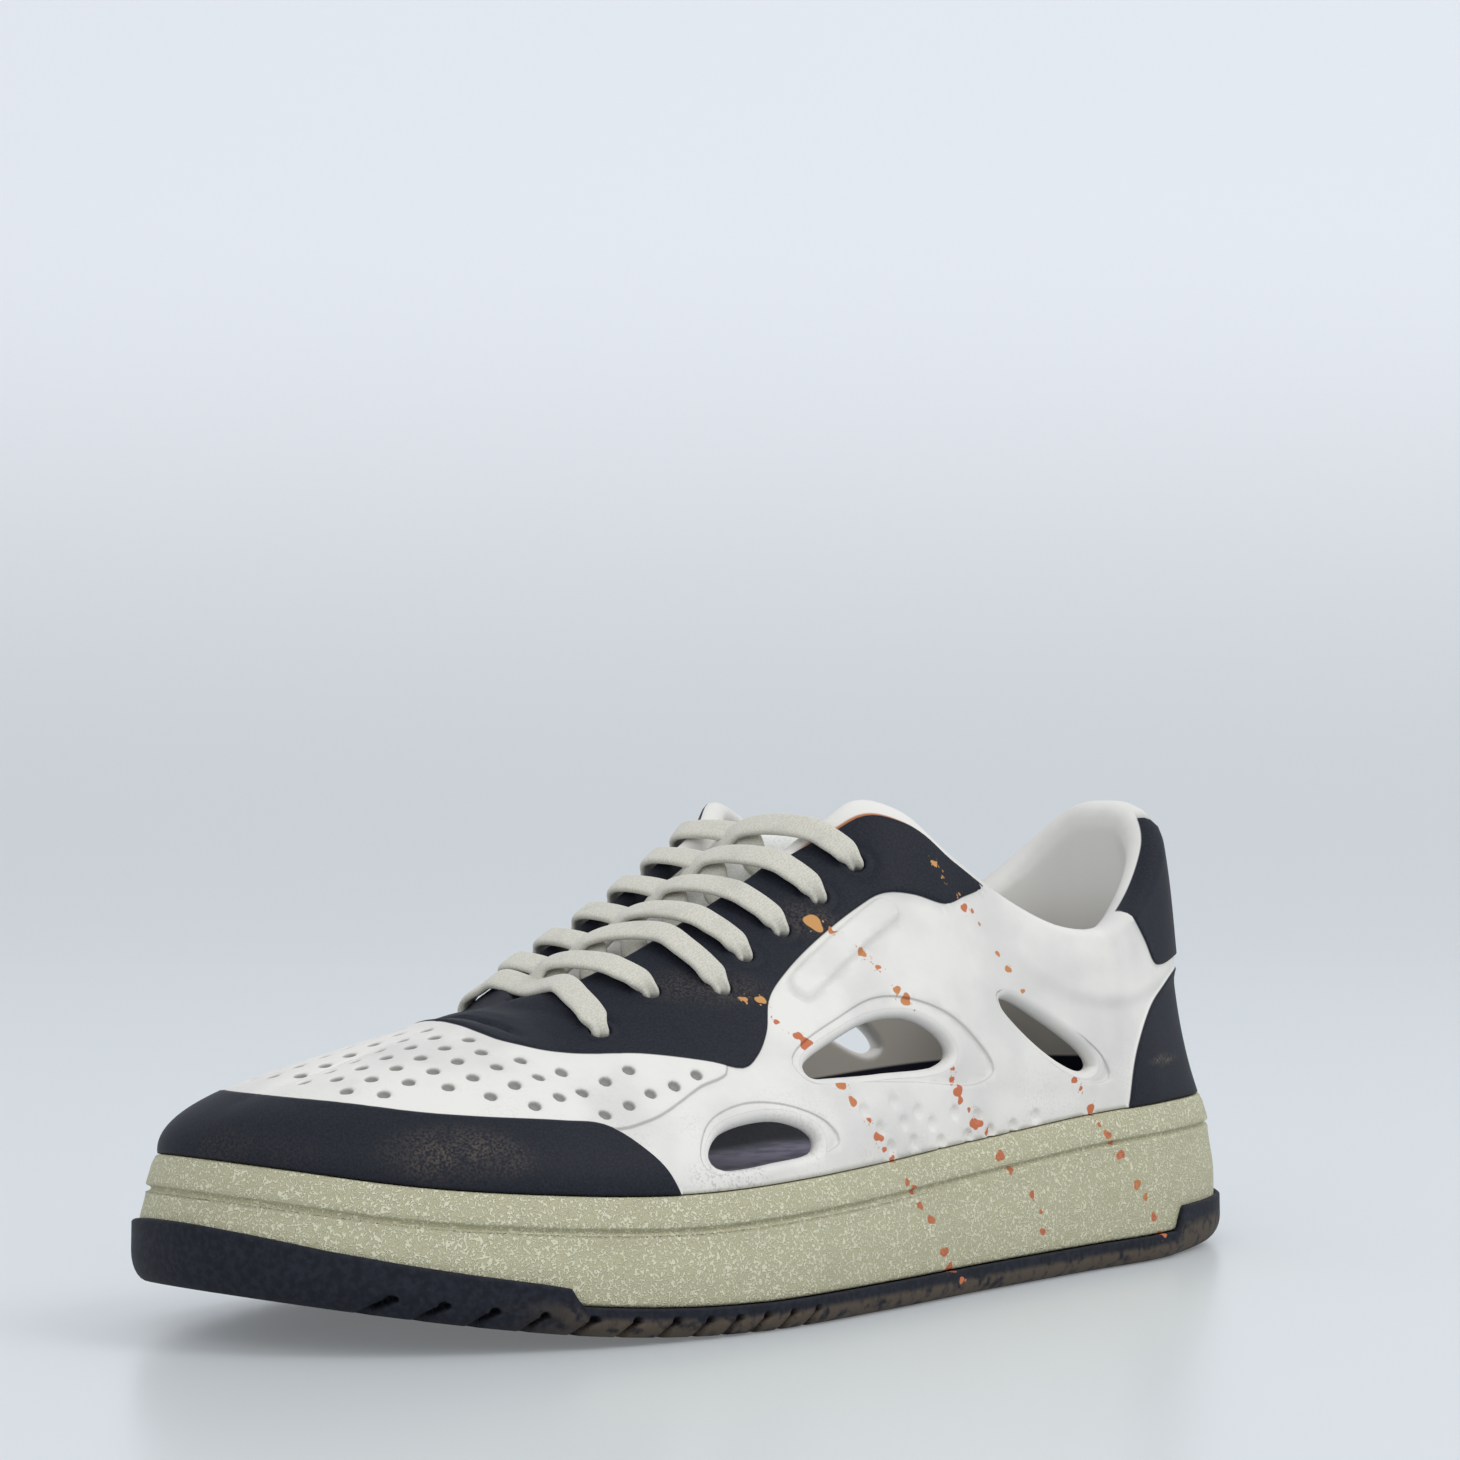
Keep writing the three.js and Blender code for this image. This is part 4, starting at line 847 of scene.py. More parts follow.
def eyelet_distance(points):
    """Distance from the axis of the nearest eyelet."""
    places = [skin_at(*eyelet(row, side)) for row in range(len(EYELETS)) for side in (1, -1)]
    best = np.full(len(points), OFF_DOT)
    for centre, axis in places:
        offset = points - centre
        along = offset @ axis
        across = np.linalg.norm(offset - along[:, None] * axis, axis=1)
        best = np.where(np.abs(along) < 3 * EYELET_DIAMETER, np.minimum(best, across), best)
    return best


def points_of(net):
    return skin_point(net["s"], net["v"])


def upper_base():
    """The upper's skin with its openings and eyelets cut out."""
    throat = np.linspace(0, THROAT_END, THROAT_STEPS, endpoint=False)
    q = np.r_[throat, np.linspace(THROAT_END, 1, TOE_STEPS)]
    net = grid_net(["s", "v"], np.r_[-q[:0:-1], q], np.linspace(0, 1, UPPER_ROWS))
    net.rim = (net["v"] == 0) | ((net["v"] == 1) & (np.abs(net["s"]) <= THROAT_END))
    openings = [closed_curve(o) for o in (MAIN_OPENING, REAR_OPENING, FRONT_OPENING)]
    net.refine(np.abs(inside_distance(openings, points_of(net)) + OPENING_LIP) < 2)
    net.put("open", -inside_distance(openings, points_of(net)))
    net.clip("open", OPENING_LIP)
    even_rims(net)
    for reach in (2.2, 1.3):
        net.refine(eyelet_distance(points_of(net)) < reach * EYELET_DIAMETER)
    net.put("eyelet", eyelet_distance(points_of(net)))
    net.clip("eyelet", EYELET_DIAMETER / 2 + EYELET_LIP)
    even_rims(net)
    return net


def label_distance(points):
    low, high = (side_place(end) for end in LABEL_ENDS)
    return LABEL_WIDTH / 2 - line_distance(points[:, [0, 2]], low, high)[0]


def dot_centres(net, points, navy, vamp):
    """Where the dimples of the vamp and of the lower quarter lie on the skin."""
    centres = []
    for x, y in vamp_dots():
        i = np.argmin(np.hypot(points[:, 0] - x, points[:, 1] - y))
        if navy[i] < -1.5 * DOT_RADIUS and vamp[i] > 1.3 * DOT_RADIUS:
            centres.append(points[i] * [0, 0, 1] + [x, y, 0])
    dimples = []
    for place in QUARTER_DOTS:
        for side in (1, -1):
            gap = np.hypot(*(points[:, [0, 2]] - side_place(place)).T)
            i = np.argmin(np.where(net["s"] * side > 0, gap, FAR))
            dimples.append(points[i])
    return centres, dimples


def crease(places, start, end, width, depth):
    """Relief of one crease, which fades out at both ends."""
    distance, share = line_distance(places, start, end)
    fade = smooth(-0.15, 0.25, share) * (1 - smooth(0.75, 1.15, share))
    return -depth * fade * np.exp(-((distance / width) ** 2))


def crease_relief(points):
    relief = np.zeros(len(points))
    for x0, y0, x1, y1, *form in BENDS:
        start, end = np.array([[x0, y0], [x1, y1]]) * [LENGTH, BALL_WIDTH]
        relief += crease(points[:, :2], start, end, *form)
    for x0, z0, x1, z1, *form in CREASES:
        start, end = side_place((x0, z0)), side_place((x1, z1))
        relief += crease(points[:, [0, 2]], start, end, *form)
    return relief


def upper_relief(net, points):
    """Height of the outer skin over its plain form."""
    navy = PANEL_THICKNESS * net.step("navy")
    vamp = VAMP_THICKNESS * net.step("vamp")
    lip = np.exp(-(((net["open"] - OPENING_LIP) / OPENING_LIP_WIDTH) ** 2))
    dish = RECESS_DEPTH * net.step("ring") * (1 - OPENING_LIP_SHARE * lip)
    label = LABEL_RISE * net.step("label")
    dots = DOT_DEPTH * (1 - smooth(0.5 * DOT_RADIUS, 1.08 * DOT_RADIUS, net["dot"]))
    dimples = DIMPLE_DEPTH * (1 - smooth(0.5 * DOT_RADIUS, 1.2 * DOT_RADIUS, net["dimple"]))
    ring_place = (net["eyelet"] - EYELET_RING) / EYELET_RING_WIDTH
    hole_ring = EYELET_RING_DEPTH * np.exp(-(ring_place**2))
    raised = np.maximum(np.maximum(navy, vamp), label)
    return (
        swell_at(net["s"], net["v"]) + raised - dish - dots - dimples - hole_ring
        + crease_relief(points)
    )


def rim_edges(net):
    """Directed edges of the openings, eyelets, collar and foot line."""
    _, of_triangle, count = net.edges()
    starts = net.triangles.ravel()
    ends = np.roll(net.triangles, -1, axis=1).ravel()
    chosen = (count[of_triangle.ravel()] == 1) & net.rim[starts] & net.rim[ends]
    return starts[chosen], ends[chosen]


def even_rims(net):
    """Draws each vertex of a hole's rim half way to the middle of its two neighbours."""
    starts, ends = rim_edges(net)
    for _ in range(RIM_PASSES):
        total = np.zeros((len(net.data), 2))
        np.add.at(total, starts, net.data[ends, :2])
        np.add.at(total, ends, net.data[starts, :2])
        loose = np.bincount(np.r_[starts, ends], minlength=len(net.data)) == 2
        loose &= (net["v"] > 0) & (net["v"] < 1)
        net.data[loose, :2] = (net.data[loose, :2] + total[loose] / 2) / 2


def evened(normals, net):
    """Normals with one lean where the two sides run together over the toe."""
    share = smooth(0.8, 0.92, net["v"]) * smooth(0.79, 0.86, np.abs(net["s"]))
    lean = unit(np.array(TOE_LEAN))
    return unit(normals * (1 - share)[:, None] + lean * share[:, None])


def upper_skin(base):
    """The outer skin, cut along every outline that its relief and its colours follow."""
    net = base.copy()
    points = points_of(net)
    panels = [closed_curve(p) for p in (TOE_CAP, EYESTAY, HEEL_TAB, HEEL_COUNTER)]
    vamp_shape = [closed_curve(VAMP_PANEL)]
    rings = [closed_curve(r) for r in (MAIN_RING, REAR_RING, FRONT_RING)]
    centres, dimples = dot_centres(
        net, points, inside_distance(panels, points), inside_distance(vamp_shape, points)
    )
    net.refine(nearest(points, centres + dimples) < 1.9 * DOT_RADIUS)
    refine_drops(net, points_of, (1.4, 0.6))
    points = points_of(net)
    q = np.abs(net["s"])
    band = np.interp(q, *np.transpose(PEAK_BAND))
    below_rim = (1 - net["v"]) * UPPER_RISE - band
    banded = ((net["s"] > 0) | (q < HEEL_BAND_END)) & (band > 0)
    navy = inside_distance(panels, points)
    net.put("navy", np.where(banded, np.minimum(navy, below_rim), navy))
    net.put("vamp", inside_distance(vamp_shape, points))
    net.put("ring", inside_distance(rings, points))
    net.put("label", np.where(net["s"] > 0, label_distance(points), OFF_LABEL))
    net.put("dot", nearest(points, centres))
    net.put("dimple", nearest(points, dimples))
    net.put("drop", drop_distance(points, net["s"] > 0))
    for share in (1.1, 0.85, 0.55):
        net.split("dot", share * DOT_RADIUS)
    net.split("dimple", 1.2 * DOT_RADIUS)
    net.split_steps(["navy", "vamp", "ring", "label", "drop"])
    return net


def rim_way(base, plain, normals):
    """Vertices of the rims, both ends of each rim edge among them, and their ways outward."""
    starts, ends = rim_edges(base)
    out = np.zeros_like(plain)
    side_step = np.cross(plain[ends] - plain[starts], normals[starts])
    np.add.at(out, starts, side_step)
    np.add.at(out, ends, side_step)
    rim, where = np.unique(np.r_[starts, ends], return_inverse=True)
    a, b = where[: len(starts)], where[len(starts):]
    _, twin = np.unique(np.round(plain[rim], 4), axis=0, return_inverse=True)
    shared = np.zeros((twin.max() + 1, 3))
    np.add.at(shared, twin.ravel(), out[rim])
    return rim, a, b, shared[twin.ravel()]


def roll_radius(base, rim):
    """How far the rounded edge stands out: a hole's, an opening's, the collar's or none."""
    hole = base["eyelet"][rim] < EYELET_DIAMETER / 2 + 2 * EYELET_LIP
    roll = np.where(hole, EYELET_LIP, OPENING_LIP)
    roll = np.where(base["v"][rim] == 1, round_at(base["s"][rim]), roll)
    return np.where(base["v"][rim] == 0, 0, roll)


def navy_turn(s, v):
    """How far over the rounded edge the navy goes: all the way at the openings, nearly so
    along the throat, and least at the heel, where the lining comes over the collar."""
    throat, heel, rise, opening = 0.85, 0.15, 0.37, 1.2
    collar = np.where(s > -0.52, heel + rise * smooth(-0.01, 0.07, s), throat)
    return np.where(v == 1, np.where(s > 0.25, throat, collar), opening)


def make_upper(material):
    base = upper_base()
    net = upper_skin(base)
    points = points_of(net)
    normals = evened(grouped_normals(points, net.triangles), net)
    foot = skin_point(net["s"], 0)[:, 2]
    outer = points + normals * upper_relief(net, points)[:, None]
    outer[:, 2] = np.maximum(outer[:, 2], foot)
    plain = points_of(base)
    inward = evened(grouped_normals(plain, base.triangles), base)
    inner = plain - inward * wall_at(base["s"], base["v"])[:, None]
    inner[:, 2] = np.maximum(inner[:, 2], foot[: len(inner)])

    rim, a, b, out = rim_way(base, plain, inward)
    across = outer[rim] - inner[rim]
    axis = unit(across)
    out = unit(out - axis * (out * axis).sum(1, keepdims=True))
    roll = roll_radius(base, rim)
    stop = navy_turn(base["s"][rim], base["v"][rim])
    middle = (outer[rim] + inner[rim]) / 2

    # Rows of vertices over the rounded edge, from the outer skin to the inner one
    count = len(outer)
    rows = [rim]
    places = [outer]
    navy = [net["navy"]]
    turn = [np.zeros(count)]
    for k in range(1, ROLL_STEPS):
        share = k / ROLL_STEPS
        angle = np.pi * k / ROLL_STEPS
        row = middle + across * np.cos(angle) / 2 + out * (np.sin(angle) * roll)[:, None]
        rows.append(count + (k - 1) * len(rim) + np.arange(len(rim)))
        places.append(row)
        navy.append(np.minimum(net["navy"][rim], ROLL_STEPS * (stop - share)))
        turn.append(np.full(len(rim), share))
    start = count + (ROLL_STEPS - 1) * len(rim)
    rows.append(start + rim)
    places.append(inner)
    navy.append(np.full(len(inner), INSIDE_NAVY))
    turn.append(np.ones(len(inner)))
    triangles = [net.triangles, base.triangles[:, ::-1] + start]
    for low, high in zip(rows, rows[1:]):
        triangles.append(np.c_[low[b], low[a], high[a]])
        triangles.append(np.c_[low[b], high[a], high[b]])
    place = np.concatenate(places)

    def outside(values, other):
        return np.r_[values, np.full(len(place) - count, float(other))]

    peak = smooth(0.4, 0.43, net["s"]) * (1 - smooth(0.49, 0.51, net["s"]))
    attributes = {
        "navy": np.concatenate(navy),
        "turn": np.concatenate(turn),
        "piped": outside(peak * (net["v"] > 0.8), 0),
        "rise": place[:, 2] - foot_line(place[:, 0]),
        "drop": outside(net["drop"], OFF_DROP),
        "dot": outside(net["dot"], OFF_DOT),
        "ring": outside(net["ring"], OFF_DROP),
        "scuff": outside(scuff_amount(points, net["s"] > 0), 0),
        "vamp": outside(net["vamp"], OFF_DROP),
    }
    return make_object(
        "shoe_upper", place, np.concatenate(triangles), attributes,
        material, ["upper"],
    )


def scuff_amount(points, outer):
    amount = np.zeros(len(points))
    for x, z, half_x, half_z, strength in SCUFFS:
        dx = (points[:, 0] / LENGTH - x) / half_x
        dz = (points[:, 2] / HEIGHT - z) / half_z
        amount = np.maximum(amount, strength * (1 - smooth(0.2, 1, np.hypot(dx, dz))))
    x = points[:, 0] / LENGTH
    reach, share = SCUFF_FAINT
    amount[(x < SCUFF_EDGE) & (x > SCUFF_EDGE - reach)] *= share
    return np.where(outer, amount, 0)


# Sole pieces: closed loaves through rows of an inset, a share of the way to the middle
# and a height


def loaf_points(rows, net):
    s, u = net["s"], net["u"]
    point, normal = outline(s)
    other, other_normal = outline(-s)
    k = np.clip(np.floor(u).astype(int), 0, len(rows) - 2)
    f = u - k
    inset = np.interp(u, np.arange(len(rows)), [row[0] for row in rows])[:, None]
    across = np.interp(u, np.arange(len(rows)), [row[1] for row in rows])[:, None]

    def height(x):
        table = np.stack([row[2](x) for row in rows], 1)
        each = np.arange(len(x))
        return table[each, k] * (1 - f) + table[each, k + 1] * f

    here = np.c_[point - inset * normal, height(point[:, 0])]
    there = np.c_[other - inset * other_normal, height(other[:, 0])]
    return here + (there - here) * across / 2


def loaf_net(rows, columns):
    return grid_net(["s", "u"], np.linspace(-1, 1, 2 * columns + 1), np.arange(len(rows)) * 1.0)


def bend(inset, height, radius, start, end, steps):
    """Rows round an edge: -90 degrees faces down, 0 out and 90 up."""
    rows = []
    for angle in np.radians(np.linspace(start, end, steps + 1)):
        rise = radius * np.sin(angle)
        rows.append((inset - radius * np.cos(angle), 0, lambda x, rise=rise: height(x) + rise))
    return rows


def flat(inset, height, start, end, steps):
    """Rows from the edge towards the middle line, or back."""
    return [(inset, share, height) for share in np.linspace(start, end, steps + 1)]


def make_midsole(material):
    def bottom(x):
        return tread_top(x) + CLEARANCE

    def groove(x):
        return foot_line(x) - GROOVE_DROP

    def top(x):
        return foot_line(x) - CLEARANCE

    pocket = LEDGE + FOOT_WALL + INSOLE_MARGIN - CLEARANCE
    rows = flat(EDGE_ROUND - FOAM_FLARE, bottom, 1, 0, 2)
    rows += bend(
        EDGE_ROUND - FOAM_FLARE, lambda x: bottom(x) + EDGE_ROUND, EDGE_ROUND, -60, 0, 3
    )
    for share in np.linspace(0.12, 0.95, 13):
        inset = -FOAM_FLARE * (1 - float(smooth(0.4, 1, share)))
        rows.append((inset, 0, lambda x, share=share: bottom(x) + share * (groove(x) - bottom(x))))
    for rise, depth in GROOVE_FORM:
        drop = rise * GROOVE_HEIGHT
        rows.append((depth * GROOVE_DEPTH, 0, lambda x, drop=drop: groove(x) + drop))
    for share in (0.2, 0.45, 0.7):
        drop = (GROOVE_DROP - GROOVE_HEIGHT) * (1 - share)
        rows.append((BAND_LEAN * share, 0, lambda x, drop=drop: top(x) - drop))
    edge = BAND_LEAN + EDGE_ROUND
    rows += bend(edge, lambda x: top(x) - EDGE_ROUND, EDGE_ROUND, 10, 90, 4)
    rows += [(inset, 0, top) for inset in (edge + 0.6, edge + 2, pocket - 0.3)]
    rows += [(pocket, 0, lambda x: top(x) - 0.4), (pocket, 0, lambda x: top(x) - INSOLE_SEAT)]
    rows += flat(pocket, lambda x: top(x) - INSOLE_SEAT, 0.5, 1, 1)

    net = loaf_net(rows, SOLE_STEPS)
    refine_drops(net, lambda net: loaf_points(rows, net), (1.6, 0.7))
    net.put("drop", drop_distance(loaf_points(rows, net), net["s"] > 0))
    net.split_steps(["drop"])
    return make_object(
        "shoe_midsole", loaf_points(rows, net), net.triangles, {"drop": net["drop"]},
        material, ["midsole"],
    )


def slot_distance(points):
    """Depth inside the nearest slot between the lugs."""
    x = points[:, 0]
    rise = points[:, 2] - underside(x)
    lean = LUG_SLOT_LEAN * np.clip(rise / LUG_SLOT_DEPTH, 0, 1) ** 2
    over = np.maximum(rise - LUG_SLOT_DEPTH, 0)
    best = np.full(len(points), OFF_SLOT)
    for share in LUG_SLOTS:
        middle = share * LENGTH - lean
        best = np.maximum(best, LUG_SLOT_WIDTH / 2 - np.hypot(x - middle, over))
    return best


def make_outsole(material):
    def at(share):
        return lambda x: underside(x) + share * (rubber_top(x) - underside(x))

    edge = TREAD_ROUND - TREAD_FLARE
    rows = flat(edge, underside, 1, 0, 22)
    for turn in np.linspace(0.15, 1, 7):
        angle = turn * np.pi / 2
        rows.append((edge - TREAD_ROUND * np.sin(angle), 0, at(0.5 * (1 - np.cos(angle)))))
    for share in np.linspace(0.56, 0.97, 8):
        rows.append((-TREAD_FLARE + 0.2 * (share - 0.5), 0, at(share)))
    rows.append((-TREAD_FLARE + 0.35, 0, at(0.992)))
    rows.append((-TREAD_FLARE + 0.6, 0, rubber_top))
    rows.append((-TREAD_FLARE + WRAP_THICKNESS, 0, rubber_top))
    rows.append((-TREAD_FLARE + WRAP_THICKNESS, 0, tread_top))
    rows += flat(-TREAD_FLARE + WRAP_THICKNESS, tread_top, 0.5, 1, 1)

    first, last, end = 10, 34, 36  # rows between which slots are cut fine, and where they end
    net = loaf_net(rows, SOLE_STEPS)
    near = slot_distance(loaf_points(rows, net)) > -1.2
    net.refine(near & (net["u"] > first) & (net["u"] < last))
    refine_drops(net, lambda net: loaf_points(rows, net), (1.2,))
    points = loaf_points(rows, net)
    net.put("slot", slot_distance(points))
    net.put("drop", drop_distance(points, net["s"] > 0))
    net.split_steps(["slot", "drop"])
    points = loaf_points(rows, net)
    normals = grouped_normals(points, net.triangles)
    reach = 1 - smooth(LUG_SLOT_REACH * 3, LUG_SLOT_REACH * 4, middle_gap(points, net))
    depth = TREAD_GROOVE_DEPTH + (LUG_SLOT_REACH - TREAD_GROOVE_DEPTH) * reach
    depth = depth * net.step("slot") * (net["u"] < end)
    x = points[:, 0]
    climb = (points[:, 2] - underside(x)) / (rubber_top(x) - underside(x))
    return make_object(
        "shoe_outsole", points - normals * depth[:, None], net.triangles,
        {"drop": net["drop"], "slot": net["slot"], "climb": climb}, material,
        ["outsole"],
    )


def middle_gap(points, net):
    """How far a point lies inside the outline, measured across the shoe."""
    return np.abs(outline(net["s"])[0][:, 1] - points[:, 1])


def make_insole(material):
    def seat(x):
        return foot_line(x) - INSOLE_SEAT

    def above(rise):
        return lambda x: seat(x) + rise

    edge = LEDGE + FOOT_WALL + INSOLE_MARGIN
    rim = INSOLE_THICKNESS + INSOLE_RIM
    rows = flat(edge + EDGE_ROUND, seat, 1, 0, 1)
    rows += [(edge, 0, above(EDGE_ROUND)), (edge, 0, above(rim - EDGE_ROUND))]
    rows += bend(edge + 0.6, above(rim - 0.6), 0.6, 10, 90, 4)
    rows += [(edge + 2, 0, above(rim - 0.3)), (edge + 3.6, 0, above(INSOLE_THICKNESS))]
    rows += flat(edge + 3.6, above(INSOLE_THICKNESS), 0.08, 1, 12)
    net = loaf_net(rows, INSOLE_STEPS)
    return make_object(
        "shoe_insole", loaf_points(rows, net), net.triangles, {}, material,
        ["insole"],
    )


def tongue_line(q, drop):
    """Points across the tongue at one station, from under one edge of the throat to the other."""
    heights = np.linspace(*TONGUE_REACH, 4)
    sides = []
    for side in (1, -1):
        s = np.full(len(heights), q * side)
        depth = wall_at(s, heights) + TONGUE_CLEARANCE + drop
        sides.append(skin_point(s, heights) - skin_normal(s, heights) * depth[:, None])
    outer, inner = sides[0], sides[1][::-1]
    gap = np.linalg.norm(outer[-1] - inner[0])
    rise = TONGUE_CROWN * smooth(0, 4 * TONGUE_TOP, gap)
    crown = []
    for share in (0.25, 0.5, 0.75):
        lift = [0, 0, rise * (1 - (2 * share - 1) ** 2)]
        crown.append(outer[-1] + (inner[0] - outer[-1]) * share + lift)
    return np.r_[outer, crown, inner]


def make_tongue(material):
    front, back = TONGUE_STATIONS
    shares = np.linspace(0, 1, TONGUE_STEPS + 1)
    across = np.linspace(-1, 1, TONGUE_COLUMNS + 1)
    skins = []
    for share in shares:
        q = front + (back - front) * share
        pair = []
        for drop in (0, TONGUE_FRONT + (TONGUE_TOP - TONGUE_FRONT) * share):
            line = tongue_line(q, drop)
            run = np.r_[0, np.cumsum(np.linalg.norm(np.diff(line, axis=0), axis=1))]
            pair.append(curve_through(np.c_[run / run[-1] * 2 - 1, line])(across))
        skins.append(pair)
    skins = np.array(skins)
    middle = (skins[:, 0] + skins[:, 1]) / 2
    half = (skins[:, 0] - skins[:, 1]) / 2
    at_sides, at_ends = TONGUE_ROUNDING
    full_across = np.sqrt(1 - across**at_sides)
    full_along = np.sqrt(np.clip(1 - np.abs(2 * shares - 1) ** at_ends, 0, 1))
    full = full_along[:, None] * full_across
    place, width, depth = TONGUE_SEAM
    seam = depth * np.exp(-(((np.abs(across) - place) / width) ** 2))
    top = middle + half * (full * (1 - seam))[:, :, None]
    under = middle - half * full[:, :, None]
    net = grid_net(["a", "b"], shares, across)
    count = len(net.data)
    points = np.r_[top.reshape(-1, 3), under.reshape(-1, 3)]
    triangles = np.r_[net.triangles[:, ::-1], net.triangles + count]
    tongue = make_object(
        "shoe_tongue", points, triangles, {}, material, ["tongue"]
    )
    return tongue


# Laces


def over_eyestay(row, share, side, slant):
    """A stop on the eyestay, a share of the way from the throat's edge (0) to the eyelet (1).

    The bar, which doesn't slant, lies close; a slanting lace is lifted over the edge.
    """
    station, height = eyelet(row, side)
    pitch = lacing_station(0) - lacing_station(1)
    s = station + side * slant * LACE_SLANT * pitch * (1 - share)
    point, normal = skin_at(s, 1 + (height - 1) * share)
    lift = PANEL_THICKNESS + LACE_CLEARANCE + LACE_THICKNESS / 2
    lift += slant * LACE_EDGE_HEIGHT * float(smooth(1, 0, share))
    return point + normal * lift, normal


def through_eyelet(row, side):
    """Stops down a hole: the lace's middle and the way its broad side faces there."""
    station, height = eyelet(row, side)
    centre, normal = skin_at(station, height)
    down = unit(skin_at(station, height - HOLE_NUDGE)[0] - centre)
    return [(centre - normal * depth, down) for depth in HOLE_STOPS]


def throat_middle(row):
    q = lacing_station(row)
    return (skin_at(q, 1)[0] + skin_at(-q, 1)[0]) / 2


def throat_up(row):
    q = lacing_station(row)
    return unit(skin_at(q, 1)[1] + skin_at(-q, 1)[1])


def over_edge(row, side, slant):
    stops = [over_eyestay(row, share, side, slant) for share in EDGE_STOPS]
    return stops + through_eyelet(row, side)


def under_edge(row, side):
    """Stops under the eyestay from an eyelet back to the throat's edge."""
    station, height = eyelet(row, side)
    stops = []
    for v in (height + HOLE_NUDGE, 0.92):
        point, normal = skin_at(station, v)
        depth = float(wall_at(np.array([station]), v)[0]) + LACE_THICKNESS / 2
        stops.append((point - normal * depth, normal))
    return stops


def crossing_stops(row, side, over):
    up = throat_up(row + 0.5)
    start = throat_middle(row)
    edge = skin_at(-side * lacing_station(row), 1)[0]
    start = start + (edge - start) * LACE_START - up * LACE_SINK
    middle = throat_middle(row + 0.5) + up * (LACE_ARCH + over)
    return under_edge(row, -side) + [(start, up), (middle, up)] + over_edge(row + 1, side, 1)


def lace_path(stops):
    """Middle line of a lace along its stops, its side and outward directions and its length."""
    places = np.array([stop[0] for stop in stops])
    faces = np.array([stop[1] for stop in stops])
    run = np.r_[0, np.cumsum(np.sqrt(np.linalg.norm(np.diff(places, axis=0), axis=1)))]
    steps = LACE_STEPS * (len(stops) - 1)
    sampled = curve_through(np.c_[run, places, faces])(np.linspace(0, run[-1], steps + 1))
    path, face = sampled[:, :3], sampled[:, 3:]
    along = unit(np.gradient(path, axis=0))
    side = unit(np.cross(along, face))
    length = np.r_[0, np.cumsum(np.linalg.norm(np.diff(path, axis=0), axis=1))]
    return path, side, np.cross(side, along), length


def lace_strip(stops, holes):
    """A flat lace, gathered where it enters a hole."""
    path, side, out, length = lace_path(stops)
    gathered = np.zeros(len(path))
    for hole in holes:
        gap = np.linalg.norm(path - hole, axis=1)
        gathered = np.maximum(gathered, 1 - smooth(*LACE_GATHER, gap))
    width = LACE_WIDTH / 2 * (1 - LACE_NARROWING * gathered)
    thick = LACE_THICKNESS / 2 * (1 + LACE_THICKENING * gathered)
    fold_depth, fold_width = LACE_FOLD
    points = []
    for i in range(LACE_CORNERS):
        angle = 2 * np.pi * i / LACE_CORNERS
        round_place = np.array([np.cos(angle), np.sin(angle)])
        across, rise = np.sign(round_place) * np.abs(round_place) ** LACE_ROUNDING
        fold = fold_depth * gathered * np.exp(-((across / fold_width) ** 2)) * (rise > 0)
        place = path + side * (width * across)[:, None]
        points.append(place + out * (thick * (rise - fold))[:, None])
    points = np.array(points).transpose(1, 0, 2)
    index = np.arange(len(path) * LACE_CORNERS).reshape(len(path), LACE_CORNERS)
    after = np.roll(index, -1, axis=1)
    a, b, c, d = index[:-1], after[:-1], after[1:], index[1:]
    triangles = [np.c_[a.ravel(), b.ravel(), c.ravel()], np.c_[a.ravel(), c.ravel(), d.ravel()]]
    for ring, order in ((index[0], -1), (index[-1], 1)):
        fan = np.c_[np.full(LACE_CORNERS - 2, ring[0]), ring[1:-1], ring[2:]]
        triangles.append(fan[:, ::order])
    return points.reshape(-1, 3), np.concatenate(triangles), np.repeat(length, LACE_CORNERS)


def make_laces(material):
    def hole(row, side):
        return skin_at(*eyelet(row, side))[0]

    up = throat_up(0)
    rise = LACE_CLEARANCE
    bar = over_edge(0, 1, 0)[::-1] + [(throat_middle(0) + up * rise, up)] + over_edge(0, -1, 0)
    strips = [("lace_bar_band", bar, [hole(0, 1), hole(0, -1)], "lace_bar")]
    for row in range(len(EYELETS) - 1):
        for side in (1, -1):
            stops = crossing_stops(row, side, side * LACE_OVERLAP * LACE_THICKNESS)
            name = f"lace_band_{row + 1}_{'outer' if side > 0 else 'inner'}"
            holes = [hole(row + 1, side), hole(row, -side)]
            strips.append((name, stops, holes, f"lace_cross_{row + 1}"))
    for name, stops, holes, node in strips:
        points, triangles, run = lace_strip(stops, holes)
        make_object(name, points, triangles, {"run": run}, material, [node])


# Finishes


def colour(red, green, blue):
    """Linear colour from the 0 to 255 shares seen on a screen."""
    shares = np.array([red, green, blue]) / 255
    linear = np.where(shares <= 0.04045, shares / 12.92, ((shares + 0.055) / 1.055) ** 2.4)
    return (*linear.tolist(), 1.0)


